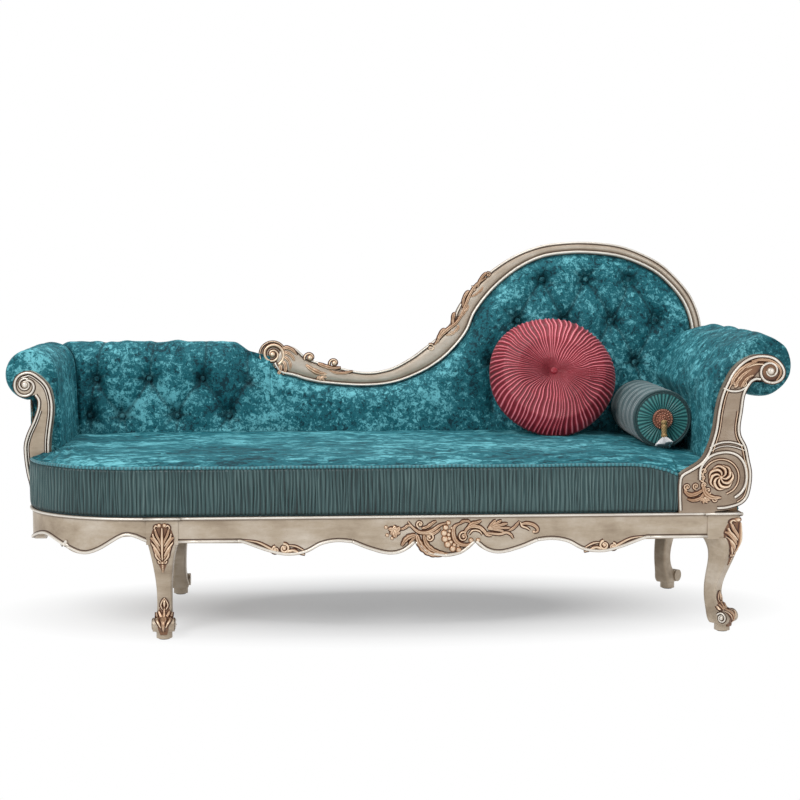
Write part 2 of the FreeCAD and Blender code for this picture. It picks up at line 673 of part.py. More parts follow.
def roll_face(place):
    """Section of the left arm and low back. place turns (inwards, up) into a point."""
    r, h = LEFT_ROLL_RADIUS, LEFT_ROLL_HEIGHT
    inner, out = BOARD_THICK + 2.0, 2.0
    under = h - sqrt(r * r - out * out)
    low, top = BURLAP_BOTTOM, ROLL_BOARD_TOP
    start = place(out, under)
    edges = [arc(start, place(-r, h), place(0, h + r)),
             arc(place(0, h + r), place(r * sqrt(0.5), h + r * sqrt(0.5)), place(r, h))]
    corners = [place(r, h), place(LEFT_PAD_DEPTH, h - 50), place(LEFT_PAD_DEPTH, low),
               place(inner, low), place(inner, top), place(out, top), start]
    edges += [Part.makeLine(a, b) for a, b in zip(corners, corners[1:])]
    return Part.Face(Part.Wire(edges))


def panel_face(place, inner, outer, low, high):
    return polygon([place(inner, low), place(outer, low), place(outer, high), place(inner, high)])


def turn_centre(z=0.0):
    return vec(LEFT_ROLL_X + CORNER_TURN, LOW_BACK_ROLL_Y - CORNER_TURN, z)


def arm_part(section):
    """A section of the left arm, run straight back from the post and half round the corner."""
    def place_at(y):
        return lambda d, z: vec(LEFT_ROLL_X + d, y, z)
    corner_y = turn_centre().y
    straight = section(place_at(LEFT_PAD_START)).extrude(vec(0, corner_y - LEFT_PAD_START, 0))
    half = section(place_at(corner_y)).revolve(turn_centre(), vec(0, 0, -1), 45)
    return join([straight, half])


def low_back_part(section, end_x):
    """The same section along the low back, from half round the corner to its end."""
    def place(d, z):
        return vec(turn_centre().x, LOW_BACK_ROLL_Y - d, z)
    half = section(place).revolve(turn_centre(), Z_AXIS, 45)
    straight = section(place).extrude(vec(end_x - turn_centre().x, 0, 0))
    return join([half, straight])


def board_section(place):
    return panel_face(place, 2.0, 2.0 + BOARD_THICK, RAIL_TOP, ROLL_BOARD_TOP)


def cover_section(place):
    top = LEFT_ROLL_HEIGHT - LEFT_ROLL_RADIUS - 0.3
    return panel_face(place, 2.0 - COVER_THICK, 2.0, RAIL_TOP + 1, top)


def right_arm_face(y, bulge):
    """Section of the right arm. bulge is 0 at the front and 1 at the back, where it swells inwards."""
    cx, cz, r = RIGHT + RIGHT_ROLL_OUT, RIGHT_ROLL_HEIGHT, RIGHT_ROLL_RADIUS
    shift = [0, 24, 26, 29, 25, 0]
    inner = [(RIGHT_PAD_X, 560), (RIGHT_PAD_X - 2, 615), (RIGHT_PAD_X + 12, 660), (RIGHT_PAD_X + 42, 704),
             (RIGHT_PAD_X + 80, 743), (cx, cz + r)]
    curve = [vec(x - bulge * swell, y, z) for (x, z), swell in zip(inner, shift)]
    top, far, low = vec(cx, y, cz + r), vec(cx + r, y, cz), vec(cx, y, cz - r)
    board_in, board_out = RIGHT - BOARD_THICK, RIGHT
    corners = [low, vec(board_out + 12, y, cz - r), vec(board_out, y, cz - r - 6)]
    loop = corners + [vec(x, y, z) for x, z in board_outline(board_in, board_out)]
    loop += [vec(board_in, y, BURLAP_BOTTOM), vec(RIGHT_PAD_X, y, BURLAP_BOTTOM), curve[0]]
    edges = [edge(curve), arc(top, far, low)] + [Part.makeLine(a, b) for a, b in zip(loop, loop[1:])]
    return Part.Face(Part.Wire(edges))


def board_outline(board_in, board_out):
    """The top of the right arm's frame, as the padding sits on it, outside to inside."""
    base = RIGHT_ROLL_HEIGHT - RIGHT_ROLL_RADIUS
    return [(board_out, base + 2), (board_out + 14, base + 36), (board_out + 70, base + 36),
            (board_out + 70, base + 90), (board_out, base + 90), (board_in, base + 40)]


def right_arm_frame(crest):
    board_in, board_out = RIGHT - BOARD_THICK, RIGHT
    outline = [(board_in, RAIL_TOP), (board_out, RAIL_TOP)] + board_outline(board_in, board_out)
    plan = polygon(front(outline, RIGHT_PAD_START))
    return plan.extrude(vec(0, FRAME_DEPTH - RIGHT_PAD_START, 0)).cut(crest)


def right_arm_pad(crest, stiles):
    start, end = right_arm_face(RIGHT_PAD_START, 0), right_arm_face(FRAME_DEPTH, 1)
    return Part.makeLoft([start.OuterWire, end.OuterWire], True, True).cut(crest).cut(stiles)


def right_arm_envelope():
    """The arm's padding and board together, run on past the back, to cut the high back's padding."""
    start, end = right_arm_face(SEAT_BACK - 60, 0.9), right_arm_face(FRAME_DEPTH + 60, 1.1)
    pad = Part.makeLoft([start.OuterWire, end.OuterWire], True, True)
    base = RIGHT_ROLL_HEIGHT - RIGHT_ROLL_RADIUS
    board = box(RIGHT - BOARD_THICK, RIGHT + 60, SEAT_BACK - 60, FRAME_DEPTH + 60, RAIL_TOP, base + 92)
    return pad.fuse(board)


def right_arm_outer_cover():
    top = RIGHT_ROLL_HEIGHT - RIGHT_ROLL_RADIUS - 8
    return box(RIGHT, RIGHT + COVER_THICK, RIGHT_PAD_START, FRAME_DEPTH, RAIL_TOP + 1, top)


# High back, drawn upright and then leaned
def raked(shape):
    """Move a shape drawn as (x, depth, height up the back) onto the raked plane."""
    leaned = shape.copy()
    leaned.rotate(vec(0, 0, 0), X_AXIS, -BACK_RAKE)
    leaned.translate(vec(BACK_X, BACK_FOOT_Y, BACK_FOOT_HEIGHT))
    return leaned


def crest_sides():
    """The upper and lower edges of the crest, left to right, and their ends at the volute."""
    middle = [(-570, 227), (-532, 203), (-500, 190), (-444, 177), (-347, 164), (-267, 173),
              (-201, 201), (-154, 231), (-113, 264), (-72, 311), (-44, 370), (12, 437), (86, 494),
              (162, 528), (237, 540), (307, 541), (388, 532), (452, 511), (510, 480), (556, 438),
              (590, 394), (610, 348), (619, 302), (623, 240)]
    widths = [98, 74, 62, 56, 43, 46, 54, 60, 58, 54, 52, 48, 42, 37, 36, 36, 36, 35, 34, 33, 33, 33, 33, 33]
    points = front(middle, -CREST_FRONT)
    return ribbon_sides(points, widths, Y_AXIS)


def volute_centre():
    return (-607.0, 236.0)


def crest_rail():
    left, right = crest_sides()
    band = face(left, [left[-1], right[-1]], right[::-1], [right[0], left[0]])
    band = band.extrude(vec(0, CREST_THICK, 0))
    x, z = volute_centre()
    disc = rod(CREST_VOLUTE_RADIUS, CREST_THICK, vec(x, -CREST_FRONT, z), Y_AXIS)
    return raked(join([band, disc]))


def under_crest(depth, low, right_end=None):
    """The field below the crest's lower edge, as a face at one depth."""
    upper, lower = crest_sides()
    below = upper if upper[len(upper) // 2].z < lower[len(lower) // 2].z else lower
    rim = [vec(point.x, depth, point.z) for point in below]
    left_x, right_x = LOW_END_X - BACK_X, rim[-1].x if right_end is None else right_end
    corners = [rim[-1], vec(right_x, depth, rim[-1].z), vec(right_x, depth, low),
               vec(left_x, depth, low), vec(left_x, depth, rim[0].z), rim[0]]
    runs = [[a, b] for a, b in zip(corners, corners[1:]) if a.distanceToPoint(b) > 0.01]
    return face(rim, *runs)


def crown_block():
    """A body whose front face is domed both ways, for the high back's padding."""
    half_height = 460.0
    back = 200.0
    reach = -PAD_CROWN + CROWN_UP - sqrt(CROWN_UP ** 2 - half_height ** 2)
    middle = vec(0, -PAD_CROWN, CROWN_MIDDLE)
    low, high = vec(0, reach, CROWN_MIDDLE - half_height), vec(0, reach, CROWN_MIDDLE + half_height)
    back_low, back_high = vec(0, back, low.z), vec(0, back, high.z)
    edges = [arc(low, middle, high), Part.makeLine(high, back_high),
             Part.makeLine(back_high, back_low), Part.makeLine(back_low, low)]
    profile = Part.Face(Part.Wire(edges))
    axis = vec(0, -PAD_CROWN + CROWN_ACROSS, 0)
    sweep = 6.0
    profile.rotate(axis, Z_AXIS, -sweep)
    return profile.revolve(axis, Z_AXIS, 2 * sweep)


def crown_depth(x, z):
    """Depth of the padding's domed face at a place on the high back."""
    up = CROWN_UP - sqrt(CROWN_UP ** 2 - (z - CROWN_MIDDLE) ** 2)
    radius = CROWN_ACROSS - up
    return -PAD_CROWN + CROWN_ACROSS - sqrt(radius ** 2 - x ** 2)


def seat_step():
    """Room for the back of the seat at the foot of the padding, drawn as the upright back is."""
    room = box(LOW_END_X - 50, RIGHT, SEAT_BACK - 200, SEAT_BACK + SEAT_GAP,
               RAIL_TOP, SEAT_CROWN - SEAT_DROP + SEAT_GAP)
    room.translate(vec(-BACK_X, -BACK_FOOT_Y, -BACK_FOOT_HEIGHT))
    room.rotate(vec(0, 0, 0), X_AXIS, BACK_RAKE)
    return room


def high_pad_body():
    field = under_crest(-PAD_CROWN - 5, BACK_PAD_LOW).extrude(vec(0, PAD_CROWN + 5, 0))
    return field.common(crown_block().cut(seat_step()))


def high_buttons():
    """Places of the buttons on the high back, row by row."""
    rows = {450: (169, 295, 421), 331: (95, 231, 368, 498), 211: (21, 160, 300, 436)}
    return [(x, z) for z, row in rows.items() for x in row]


def neighbours(places, reach):
    """Pairs of buttons close enough to have a crease between them, row to row."""
    pairs = []
    for i, a in enumerate(places):
        for b in places[i + 1:]:
            if abs(a[1] - b[1]) > 20 and hypot(a[0] - b[0], a[1] - b[1]) < reach:
                pairs.append((a, b))
    return pairs


def crease(a, b, lift):
    """A shallow wedge along the line between two points on a padded face."""
    along = b - a
    across = along.cross(lift)
    across.normalize()
    mouth = a + lift * CREASE_DEPTH
    wedge = polygon([a - lift * CREASE_DEPTH, mouth + across * CREASE_WIDTH, mouth - across * CREASE_WIDTH])
    return wedge.extrude(along)


def pit(surface, lift):
    """The funnel that a button pulls into the padding."""
    floor = surface - lift * PIT_DEPTH
    cone = Part.makeCone(BUTTON_RADIUS + 1.5, PIT_RADIUS, PIT_DEPTH, floor, lift)
    mouth = rod(PIT_RADIUS, 8, surface, lift)
    return cone.fuse(mouth)


def button(surface, lift):
    floor = surface - lift * PIT_DEPTH
    base = rod(BUTTON_RADIUS, BUTTON_THICK - 2, floor, lift)
    dome = Part.makeCone(BUTTON_RADIUS, BUTTON_RADIUS * 0.55, 2, floor + lift * (BUTTON_THICK - 2), lift)
    return base.fuse(dome)


def tufted(body, places, surface_of, lift, reach):
    """Cut pits and the creases between them into a padded body."""
    for place in places:
        body = body.cut(pit(surface_of(place), lift))
    for a, b in neighbours(places, reach):
        body = body.cut(crease(surface_of(a), surface_of(b), lift))
    return body


def high_surface(place):
    return vec(place[0], crown_depth(*place), place[1])


def high_back_pad():
    pad = tufted(high_pad_body(), high_buttons(), high_surface, vec(0, -1, 0), 175)
    return raked(pad).cut(right_arm_envelope())


def high_back_buttons():
    return Part.makeCompound([raked(button(high_surface(p), vec(0, -1, 0))) for p in high_buttons()])


def low_buttons():
    """Places (x, z) of the buttons on the low back, from its right-hand end."""
    lower = [(LOW_END_X - step, 506) for step in (119, 265, 419)]
    upper = [(LOW_END_X - step, 612) for step in (61, 192, 342, 489)]
    return lower + [(LOW_END_X - 508, 506)] + upper


def low_surface(place):
    return vec(place[0], LOW_BACK_ROLL_Y - LEFT_PAD_DEPTH, place[1])


def low_end_notch():
    """Room at the end of the low back's roll for the crest's volute."""
    return box(LOW_END_X - 40, LOW_END_X + 5, SEAT_BACK - 60, LOW_BACK_ROLL_Y + 100,
               LEFT_ROLL_HEIGHT - 24, LEFT_ROLL_HEIGHT + LEFT_ROLL_RADIUS + 40)


def low_back_pad(crest):
    pad = low_back_part(roll_face, LOW_END_X).cut(low_end_notch())
    return tufted(pad, low_buttons(), low_surface, vec(0, -1, 0), 160).cut(crest)


def low_back_buttons():
    return Part.makeCompound([button(low_surface(p), vec(0, -1, 0)) for p in low_buttons()])


def back_stiles():
    """Posts of the high back, standing on the rear rail and running up under the crest."""
    left = LOW_END_X - BACK_X + STILE_WIDTH / 2
    right = RIGHT_PAD_X - BACK_X - STILE_WIDTH / 2
    low, high = -220.0, 600.0
    keep = raked(under_crest(0, low).extrude(vec(0, 60, 0)))
    floor = box(LEFT - 100, RIGHT + 300, 400, 800, 0, RAIL_TOP)
    posts = []
    for x in (left, left + (right - left) * 0.28, left + (right - left) * 0.62, right):
        post = box(x - STILE_WIDTH / 2, x + STILE_WIDTH / 2, BACK_WEB_THICK,
                   BACK_WEB_THICK + STILE_THICK, low, high)
        posts.append(raked(post).cut(floor).common(keep))
    return Part.makeCompound(posts)


def back_webbing():
    """Straps across the front of the stiles, as long as the crest leaves room for."""
    field = under_crest(0, BACK_PAD_LOW, RIGHT_PAD_X - BACK_X).extrude(vec(0, BACK_WEB_THICK, 0))
    pieces = []
    for height in (60, 180, 300, 420):
        strap = box(-700, RIGHT_PAD_X - BACK_X, 0, BACK_WEB_THICK, height, height + WEB_WIDTH)
        pieces += strap.common(field).Solids
    return raked(Part.makeCompound(pieces))


def back_outer_cover():
    depth = BACK_WEB_THICK + STILE_THICK
    high = under_crest(depth, -120).extrude(vec(0, COVER_THICK, 0))
    low = low_back_part(cover_section, LOW_END_X)
    return Part.makeCompound([raked(high), low])


def low_back_board(crest):
    return low_back_part(board_section, LOW_END_X).cut(crest)


# Applied carvings
def apron_cartouche(moulding):
    """The shell and leaves at the middle of the front rail."""
    x0 = RAIL_MIDDLE
    pieces = [carved([(-62, 232), (-40, 222), (-20, 226), (-8, 246), (8, 262), (30, 262), (40, 246),
                      (30, 232), (12, 232)], [8, 12, 15, 17, 17, 16, 14, 11, 6], 0, 9, x0),
              carved([(-88, 268), (-64, 262), (-40, 268), (-26, 284), (-34, 296)],
                     [5, 9, 12, 10, 5], 0, 7, x0),
              carved([(18, 288), (40, 282), (64, 286), (84, 276)], [5, 10, 10, 4], 0, 7, x0)]
    return Part.makeCompound([piece.cut(moulding) for piece in pieces])


def apron_scrolls(moulding):
    """Small curled ends on the lobes of the front rail."""
    pieces = []
    for hand in (-1, 1):
        curl = [(hand * x, z) for x, z in [(352, 234), (372, 224), (392, 226), (400, 238), (390, 246),
                                         (380, 238)]]
        pieces.append(carved(curl, [4, 7, 8, 8, 6, 4], 0, 6, RAIL_MIDDLE))
        tail = [(hand * x, z) for x, z in [(150, 238), (190, 248), (240, 262), (300, 262), (336, 248)]]
        pieces.append(carved(tail, [4, 7, 8, 7, 4], 0, 5, RAIL_MIDDLE))
    return Part.makeCompound([piece.cut(moulding) for piece in pieces])


def right_post_rosette():
    """The ring and pinwheel on the base of the right post."""
    y = RIGHT_POST_FRONT
    centre = vec(RIGHT - 52, y, 401 + RAIL_TOP - 312)
    ring = rod(38, 5, centre, vec(0, -1, 0)).cut(rod(31, 5, centre, vec(0, -1, 0)))
    pinwheel = Part.makeCone(24, 14, 8, centre, vec(0, -1, 0))
    tail = carved([(-142, 350), (-122, 338), (-100, 342), (-92, 356)], [6, 14, 14, 6], y, 6, RIGHT)
    return Part.makeCompound([ring, pinwheel, tail])


def right_volute_carving():
    """The leaf and the eye of the volute at the head of the right post."""
    y = RIGHT_POST_FRONT
    eye = Part.makeCone(11, 7, 7, vec(RIGHT + 62, y, 668), vec(0, -1, 0))
    leaf = carved([(-22, 618), (-12, 645), (6, 668), (28, 686)], [6, 22, 24, 10], y, 6, RIGHT)
    return Part.makeCompound([eye, leaf])


def crest_volute_carving():
    x, z = volute_centre()
    eye = Part.makeCone(11, 7, 8, vec(x, -CREST_FRONT, z), vec(0, -1, 0))
    leaf = carved([(-578, 250), (-560, 226), (-548, 204), (-536, 190)], [6, 22, 20, 6],
                  -CREST_FRONT, 7)
    return Part.makeCompound([raked(eye), raked(leaf)])


def crest_flower_carving():
    ball = Part.makeCone(11, 6, 9, vec(-482, -CREST_FRONT, 204), vec(0, -1, 0))
    drop = carved([(-474, 192), (-460, 182), (-444, 168), (-430, 160)], [8, 20, 20, 8],
                  -CREST_FRONT, 7)
    curl = carved([(-452, 200), (-430, 194), (-408, 194), (-392, 202)], [6, 8, 8, 10],
                  -CREST_FRONT, 7)
    return Part.makeCompound([raked(ball), raked(drop), raked(curl)])


def crest_leaf_carving():
    leaf = carved([(-136, 276), (-104, 306), (-80, 352), (-48, 398), (0, 450)],
                  [16, 26, 26, 22, 10], -CREST_FRONT, 8)
    return raked(leaf)


# Loose pieces
def cushion_profile(radius, thick):
    """A crowned round cushion about the Y axis, drawn in at its seam and at its middle."""
    half = thick / 2
    dimple = half - 16
    front_curve = [vec(0, -dimple, 0), vec(radius * 0.22, -half + 4, 0), vec(radius * 0.55, -half, 0),
                   vec(radius * 0.88, -half * 0.62, 0), vec(radius, -4, 0)]
    back_curve = [vec(p.x, -p.y, 0) for p in front_curve][::-1]
    profile = face(front_curve, [front_curve[-1], back_curve[0]], back_curve,
                   [back_curve[-1], front_curve[0]])
    return profile.revolve(vec(0, 0, 0), Y_AXIS, 360)


def slide_to(shape, other, direction, reach):
    """Move a shape along a direction until it lies SEAT_GAP off another."""
    def clear(distance):
        moved = shape.copy()
        moved.translate(direction * distance)
        return moved.distToShape(other)[0]
    near, far = 0.0, reach
    for _ in range(14):
        middle = (near + far) / 2
        if clear(middle) > SEAT_GAP:
            near = middle
        else:
            far = middle
    shape.translate(direction * near)
    return direction * near


def round_cushion_pieces(seat, back):
    cushion = cushion_profile(CUSHION_RADIUS, CUSHION_THICK)
    pit_floor = CUSHION_THICK / 2 - 16
    buttons = []
    for hand in (-1, 1):
        at = vec(0, hand * (pit_floor - 4), 0)
        buttons.append(rod(CUSHION_BUTTON_RADIUS, 8, at, vec(0, hand, 0)))
    for piece in buttons:
        cushion = cushion.cut(piece)
    group = Part.makeCompound([cushion] + buttons)
    group.rotate(vec(0, 0, 0), X_AXIS, -CUSHION_LEAN)
    group.translate(vec(BACK_X + 176, SEAT_BACK - 130, SEAT_CROWN + CUSHION_RADIUS + 40))
    for _ in range(2):
        slide_to(group, seat, vec(0, 0, -1), 120)
        group.translate(vec(0, -1, 0))
        slide_to(group, back, vec(0, 1, 0), 160)
    solids = group.Solids
    return solids[0], Part.makeCompound(solids[1:])


def bolster_pieces(seat, back):
    """The bolster, its two piping rings and rosettes, all about one axis along Y."""
    r, length = BOLSTER_RADIUS, BOLSTER_LENGTH
    profile = face([vec(0, -4, 0), vec(r - 6, -4, 0)],
                   [vec(r - 6, -4, 0), vec(r - 1.5, -1, 0), vec(r, 5, 0)],
                   [vec(r, 5, 0), vec(r, length - 5, 0)],
                   [vec(r, length - 5, 0), vec(r - 1.5, length + 1, 0), vec(r - 6, length + 4, 0)],
                   [vec(r - 6, length + 4, 0), vec(0, length + 4, 0)],
                   [vec(0, length + 4, 0), vec(0, -4, 0)])
    body = profile.revolve(vec(0, 0, 0), Y_AXIS, 360)
    rings, rosettes = [], []
    for end, way in ((0.0, -1), (length, 1)):
        ring = Part.makeTorus(r - BOLSTER_PIPING_RADIUS, BOLSTER_PIPING_RADIUS, vec(0, end, 0), Y_AXIS)
        rings.append(ring)
        body = body.cut(ring)
        rosettes.append(Part.makeCone(ROSETTE_RADIUS, ROSETTE_RADIUS * 0.6, ROSETTE_THICK,
                                      vec(0, end + way * 4, 0), vec(0, way, 0)))
    group = Part.makeCompound([body] + rings + rosettes)
    group.translate(vec(RIGHT_PAD_X - BOLSTER_RADIUS - 3, 200, SEAT_CROWN + BOLSTER_RADIUS + 20))
    drop = slide_to(group, seat, vec(0, 0, -1), 80)
    push = slide_to(group, back, vec(0, 1, 0), 120)
    solids = group.Solids
    centre = vec(RIGHT_PAD_X - BOLSTER_RADIUS - 3, 200, SEAT_CROWN + BOLSTER_RADIUS + 20) + drop + push
    return solids[0], Part.makeCompound(solids[1:3]), Part.makeCompound(solids[3:5]), centre


def tassel_pieces(centre):
    """The neck and the skirt that hang from the front rosette, leaning out over the seat."""
    out = 4 + ROSETTE_THICK + SEAT_GAP
    knot = centre + vec(0, -out - TASSEL_NECK_RADIUS, -6)
    neck_end = knot + vec(0, -6, -TASSEL_NECK_LENGTH)
    along = neck_end - knot
    neck = Part.makeCone(TASSEL_NECK_RADIUS, TASSEL_NECK_RADIUS * 0.8, along.Length, knot, along)
    skirt_end = neck_end + vec(0, -12, -TASSEL_SKIRT_LENGTH)
    fall = skirt_end - neck_end
    skirt = Part.makeCone(TASSEL_NECK_RADIUS * 0.8, TASSEL_NECK_RADIUS * 2.1, fall.Length, neck_end, fall)
    return neck, skirt.cut(neck)


def build():
    """Every piece under its node's name."""
    nodes = {"front_rail": front_rail(), "rail_bead": rail_bead(),
             "apron_edge_moulding": apron_edge_moulding(),
             "left_corner_rail": left_corner_rail(),
             "left_end_rail": left_end_rail(), "rear_rail": rear_rail(),
             "right_end_rail": right_end_rail()}
    for name, place in leg_places().items():
        leg = cabriole_leg(*place)
        for brace in brace_places():
            leg = leg.cut(screw_bore(brace))
        nodes[name] = leg
    nodes["foot_glides"] = foot_glides()
    nodes["knee_leaf_carvings"] = knee_leaf_carvings()
    nodes["foot_leaf_carvings"] = foot_leaf_carvings()
    nodes["corner_blocks"] = corner_blocks()
    nodes["frame_screws"] = frame_screws()
    nodes["seat_cross_rails"] = seat_cross_rails()
    nodes["dust_cover"] = dust_cover()

    right_post, left_post = right_arm_post(), left_arm_post()
    piping = seat_top_piping(right_post)
    nodes["right_arm_post"] = right_post
    nodes["left_arm_post"] = left_post
    nodes["seat_webbing"] = seat_webbing()
    nodes["seat_burlap"] = seat_burlap(right_post)
    nodes["seat_foam"] = seat_foam(right_post)
    nodes["seat_border"] = seat_border(right_post)
    nodes["seat_top_piping"] = piping
    nodes["seat_bottom_piping"] = seat_bottom_piping()
    nodes["seat_cover"] = seat_cover(right_post, piping)

    crest = crest_rail()
    nodes["crest_rail"] = crest
    nodes["right_arm_frame"] = right_arm_frame(crest)
    nodes["back_stiles"] = back_stiles()
    nodes["right_arm_pad"] = right_arm_pad(crest, nodes["back_stiles"])
    nodes["right_arm_outer_cover"] = right_arm_outer_cover()
    nodes["left_arm_frame"] = arm_part(board_section)
    nodes["left_arm_pad"] = arm_part(roll_face)
    nodes["left_arm_outer_cover"] = arm_part(cover_section)

    nodes["low_back_board"] = low_back_board(crest)
    nodes["back_webbing"] = back_webbing()
    nodes["high_back_pad"] = high_back_pad()
    nodes["high_back_buttons"] = high_back_buttons()
    nodes["low_back_pad"] = low_back_pad(crest)
    nodes["low_back_buttons"] = low_back_buttons()
    nodes["back_outer_cover"] = back_outer_cover()

    nodes["apron_cartouche"] = apron_cartouche(nodes["apron_edge_moulding"])
    nodes["apron_scrolls"] = apron_scrolls(nodes["apron_edge_moulding"])
    nodes["right_post_rosette"] = right_post_rosette()
    nodes["right_volute_carving"] = right_volute_carving()
    nodes["crest_volute_carving"] = crest_volute_carving()
    nodes["crest_flower_carving"] = crest_flower_carving()
    nodes["crest_leaf_carving"] = crest_leaf_carving()

    plain_back = raked(high_pad_body())
    cushion, cushion_buttons = round_cushion_pieces(nodes["seat_cover"], plain_back)
    nodes["round_cushion"] = cushion
    nodes["round_cushion_buttons"] = cushion_buttons
    bolster, rings, rosettes, centre = bolster_pieces(nodes["seat_cover"], plain_back)
    nodes["bolster"] = bolster
    nodes["bolster_piping"] = rings
    nodes["bolster_rosettes"] = rosettes
    neck, skirt = tassel_pieces(centre)
    nodes["tassel_neck"] = neck
    nodes["tassel_skirt"] = skirt
    return nodes


def main():
    nodes = build()
    bounds = Part.makeCompound(list(nodes.values())).optimalBoundingBox()
    shift = vec(-(bounds.XMin + bounds.XMax) / 2, -(bounds.YMin + bounds.YMax) / 2, -bounds.ZMin)
    os.makedirs("parts", exist_ok=True)
    for name, shape in nodes.items():
        placed = shape.copy()
        placed.translate(shift)
        placed.exportStep(f"parts/{name}.step")
        print(f"{name:26s} {len(placed.Solids):3d} solids {placed.Volume / 1000:10.1f} cm3"
              f" {'valid' if placed.isValid() else 'INVALID'}")
    print("box", round(bounds.XLength, 2), round(bounds.YLength, 2), round(bounds.ZLength, 2))
    print("moved by", [round(value, 3) for value in shift])


main()
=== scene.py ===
# %% [markdown]
# # A carved fainting couch
#
# This lesson dresses a finished CAD model. The joiner's frame comes in as fixed solids, and each
# cell adds what an upholsterer, a carver or a gilder would add: velvet pads with deep buttons, a
# gathered satin band, carved leaves and scrolls, two loose cushions and a tassel.
#
# All sizes below are in millimetres of the maker's drawing. One function turns them into the
# metres of the scene, so that a number can be read off the drawing and used as it is.

from math import atan2, ceil, cos, pi, radians, sin, tau

import bmesh
import bpy
import numpy as np
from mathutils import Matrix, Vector


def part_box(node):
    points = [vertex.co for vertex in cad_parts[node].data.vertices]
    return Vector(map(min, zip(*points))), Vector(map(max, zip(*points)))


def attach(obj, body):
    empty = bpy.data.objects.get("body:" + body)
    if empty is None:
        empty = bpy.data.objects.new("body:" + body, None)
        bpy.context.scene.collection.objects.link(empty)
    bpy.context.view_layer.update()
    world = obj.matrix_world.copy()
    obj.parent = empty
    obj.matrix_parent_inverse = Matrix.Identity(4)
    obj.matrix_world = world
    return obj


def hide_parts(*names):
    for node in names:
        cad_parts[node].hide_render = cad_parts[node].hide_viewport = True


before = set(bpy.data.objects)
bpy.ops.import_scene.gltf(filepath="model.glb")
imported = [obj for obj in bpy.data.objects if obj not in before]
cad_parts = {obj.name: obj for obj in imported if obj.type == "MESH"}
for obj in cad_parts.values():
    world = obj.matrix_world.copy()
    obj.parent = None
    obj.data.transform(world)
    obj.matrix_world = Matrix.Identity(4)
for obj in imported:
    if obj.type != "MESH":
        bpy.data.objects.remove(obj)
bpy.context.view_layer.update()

# %% [markdown]
# ## From the drawing to the scene
#
# The drawing starts at the middle of the couch's front rail, at floor level. The rail's own box
# tells where that is in the scene. The high back leans, so its pieces are drawn on an upright
# sheet of their own (x, depth, height up the back) and leaned by the second function.

# %% Places
MM = 0.001
RAIL_LEFT = -561.0
RAKE = radians(6.0)
BACK_X, BACK_Y, BACK_Z = 270.0, 600.0, 440.0

rail_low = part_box("front_rail")[0]
SHIFT = np.array([rail_low.x - RAIL_LEFT * MM, rail_low.y, 0.0])


def place(points):
    """Points of the drawing, in millimetres, as points of the scene."""
    return np.asarray(points, float) * MM + SHIFT


def drawn(point):
    """A place of the scene as x, y and z of the drawing, in millimetres."""
    return (np.array(point) - SHIFT) / MM


def raked(points):
    """Points (x, depth, height up the back) on the leaning back, as points of the scene."""
    p = np.asarray(points, float)
    x = p[..., 0] + BACK_X
    y = BACK_Y + p[..., 1] * cos(RAKE) + p[..., 2] * sin(RAKE)
    z = BACK_Z - p[..., 1] * sin(RAKE) + p[..., 2] * cos(RAKE)
    return place(np.stack([x, y, z], axis=-1))


def stack(x, y, z):
    """Three numbers or arrays as one array of points."""
    return np.stack(np.broadcast_arrays(x, y, z), axis=-1).astype(float)


def smooth(points, spacing=4.0):
    """Rows of numbers close together on a smooth curve through the given rows."""
    p = np.asarray(points, float)
    p = np.vstack([2 * p[0] - p[1], p, 2 * p[-1] - p[-2]])
    runs = []
    for a, b, c, d in zip(p, p[1:], p[2:], p[3:]):
        count = max(2, int(np.linalg.norm((c - b)[:2]) / spacing))
        t = np.linspace(0, 1, count, endpoint=False)[:, None]
        runs.append(0.5 * (2 * b + (c - a) * t + (2 * a - 5 * b + 4 * c - d) * t ** 2
            + (3 * b - a - 3 * c + d) * t ** 3))
    return np.vstack(runs + [p[-2:-1]])


def ease(t):
    """0 to 1 with a soft start and end."""
    t = np.clip(t, 0.0, 1.0)
    return t * t * (3 - 2 * t)


def bell(distance, width):
    """1 at no distance, falling softly to 0 within about twice the width."""
    return np.exp(-(distance / width) ** 2)


def heading(path):
    """The way, of length 1, in which a line runs at each of its places."""
    way = np.gradient(path, axis=0)
    return way / np.maximum(np.linalg.norm(way, axis=1), 1e-9)[:, None]


def rightward(way):
    """The right-hand side of each way on a flat sheet."""
    return np.stack([way[:, 1], -way[:, 0]], axis=1)


def evenly(line, count=0, step=1.0):
    """The same line with its places evenly spaced, and how far along it each is."""
    run = np.r_[0, np.cumsum(np.linalg.norm(np.diff(line, axis=0), axis=1))]
    even = np.linspace(0, run[-1], count or int(run[-1] / step))
    return np.stack([np.interp(even, run, column) for column in np.transpose(line)], axis=1), even


def add_object(name, data):
    """A new object in the scene."""
    thing = bpy.data.objects.new(name, data)
    bpy.context.scene.collection.objects.link(thing)
    return thing


print("drawing's origin in the scene:", SHIFT.round(4))

# %% [markdown]
# ## The camera
#
# The picture was taken with a long lens from about four metres, a little to the left of the
# middle and a little above the seat. The camera is set by numbers, and comes before any shape.

# %% Camera
CAMERA_PLACE = (-233.0, -3960.0, 983.0)
CAMERA_YAW, CAMERA_PITCH = radians(3.26), radians(5.48)
lens = bpy.data.cameras.new("camera")
lens.sensor_width = 36.0
lens.lens = 72.0
lens.clip_end = 200.0
camera = add_object("camera", lens)
camera.location = Vector(place(CAMERA_PLACE))
look = Vector((sin(CAMERA_YAW) * cos(CAMERA_PITCH), cos(CAMERA_YAW) * cos(CAMERA_PITCH),
    -sin(CAMERA_PITCH)))
camera.rotation_euler = look.to_track_quat("-Z", "Y").to_euler()
bpy.context.scene.camera = camera
bpy.context.scene.view_settings.view_transform = "Standard"

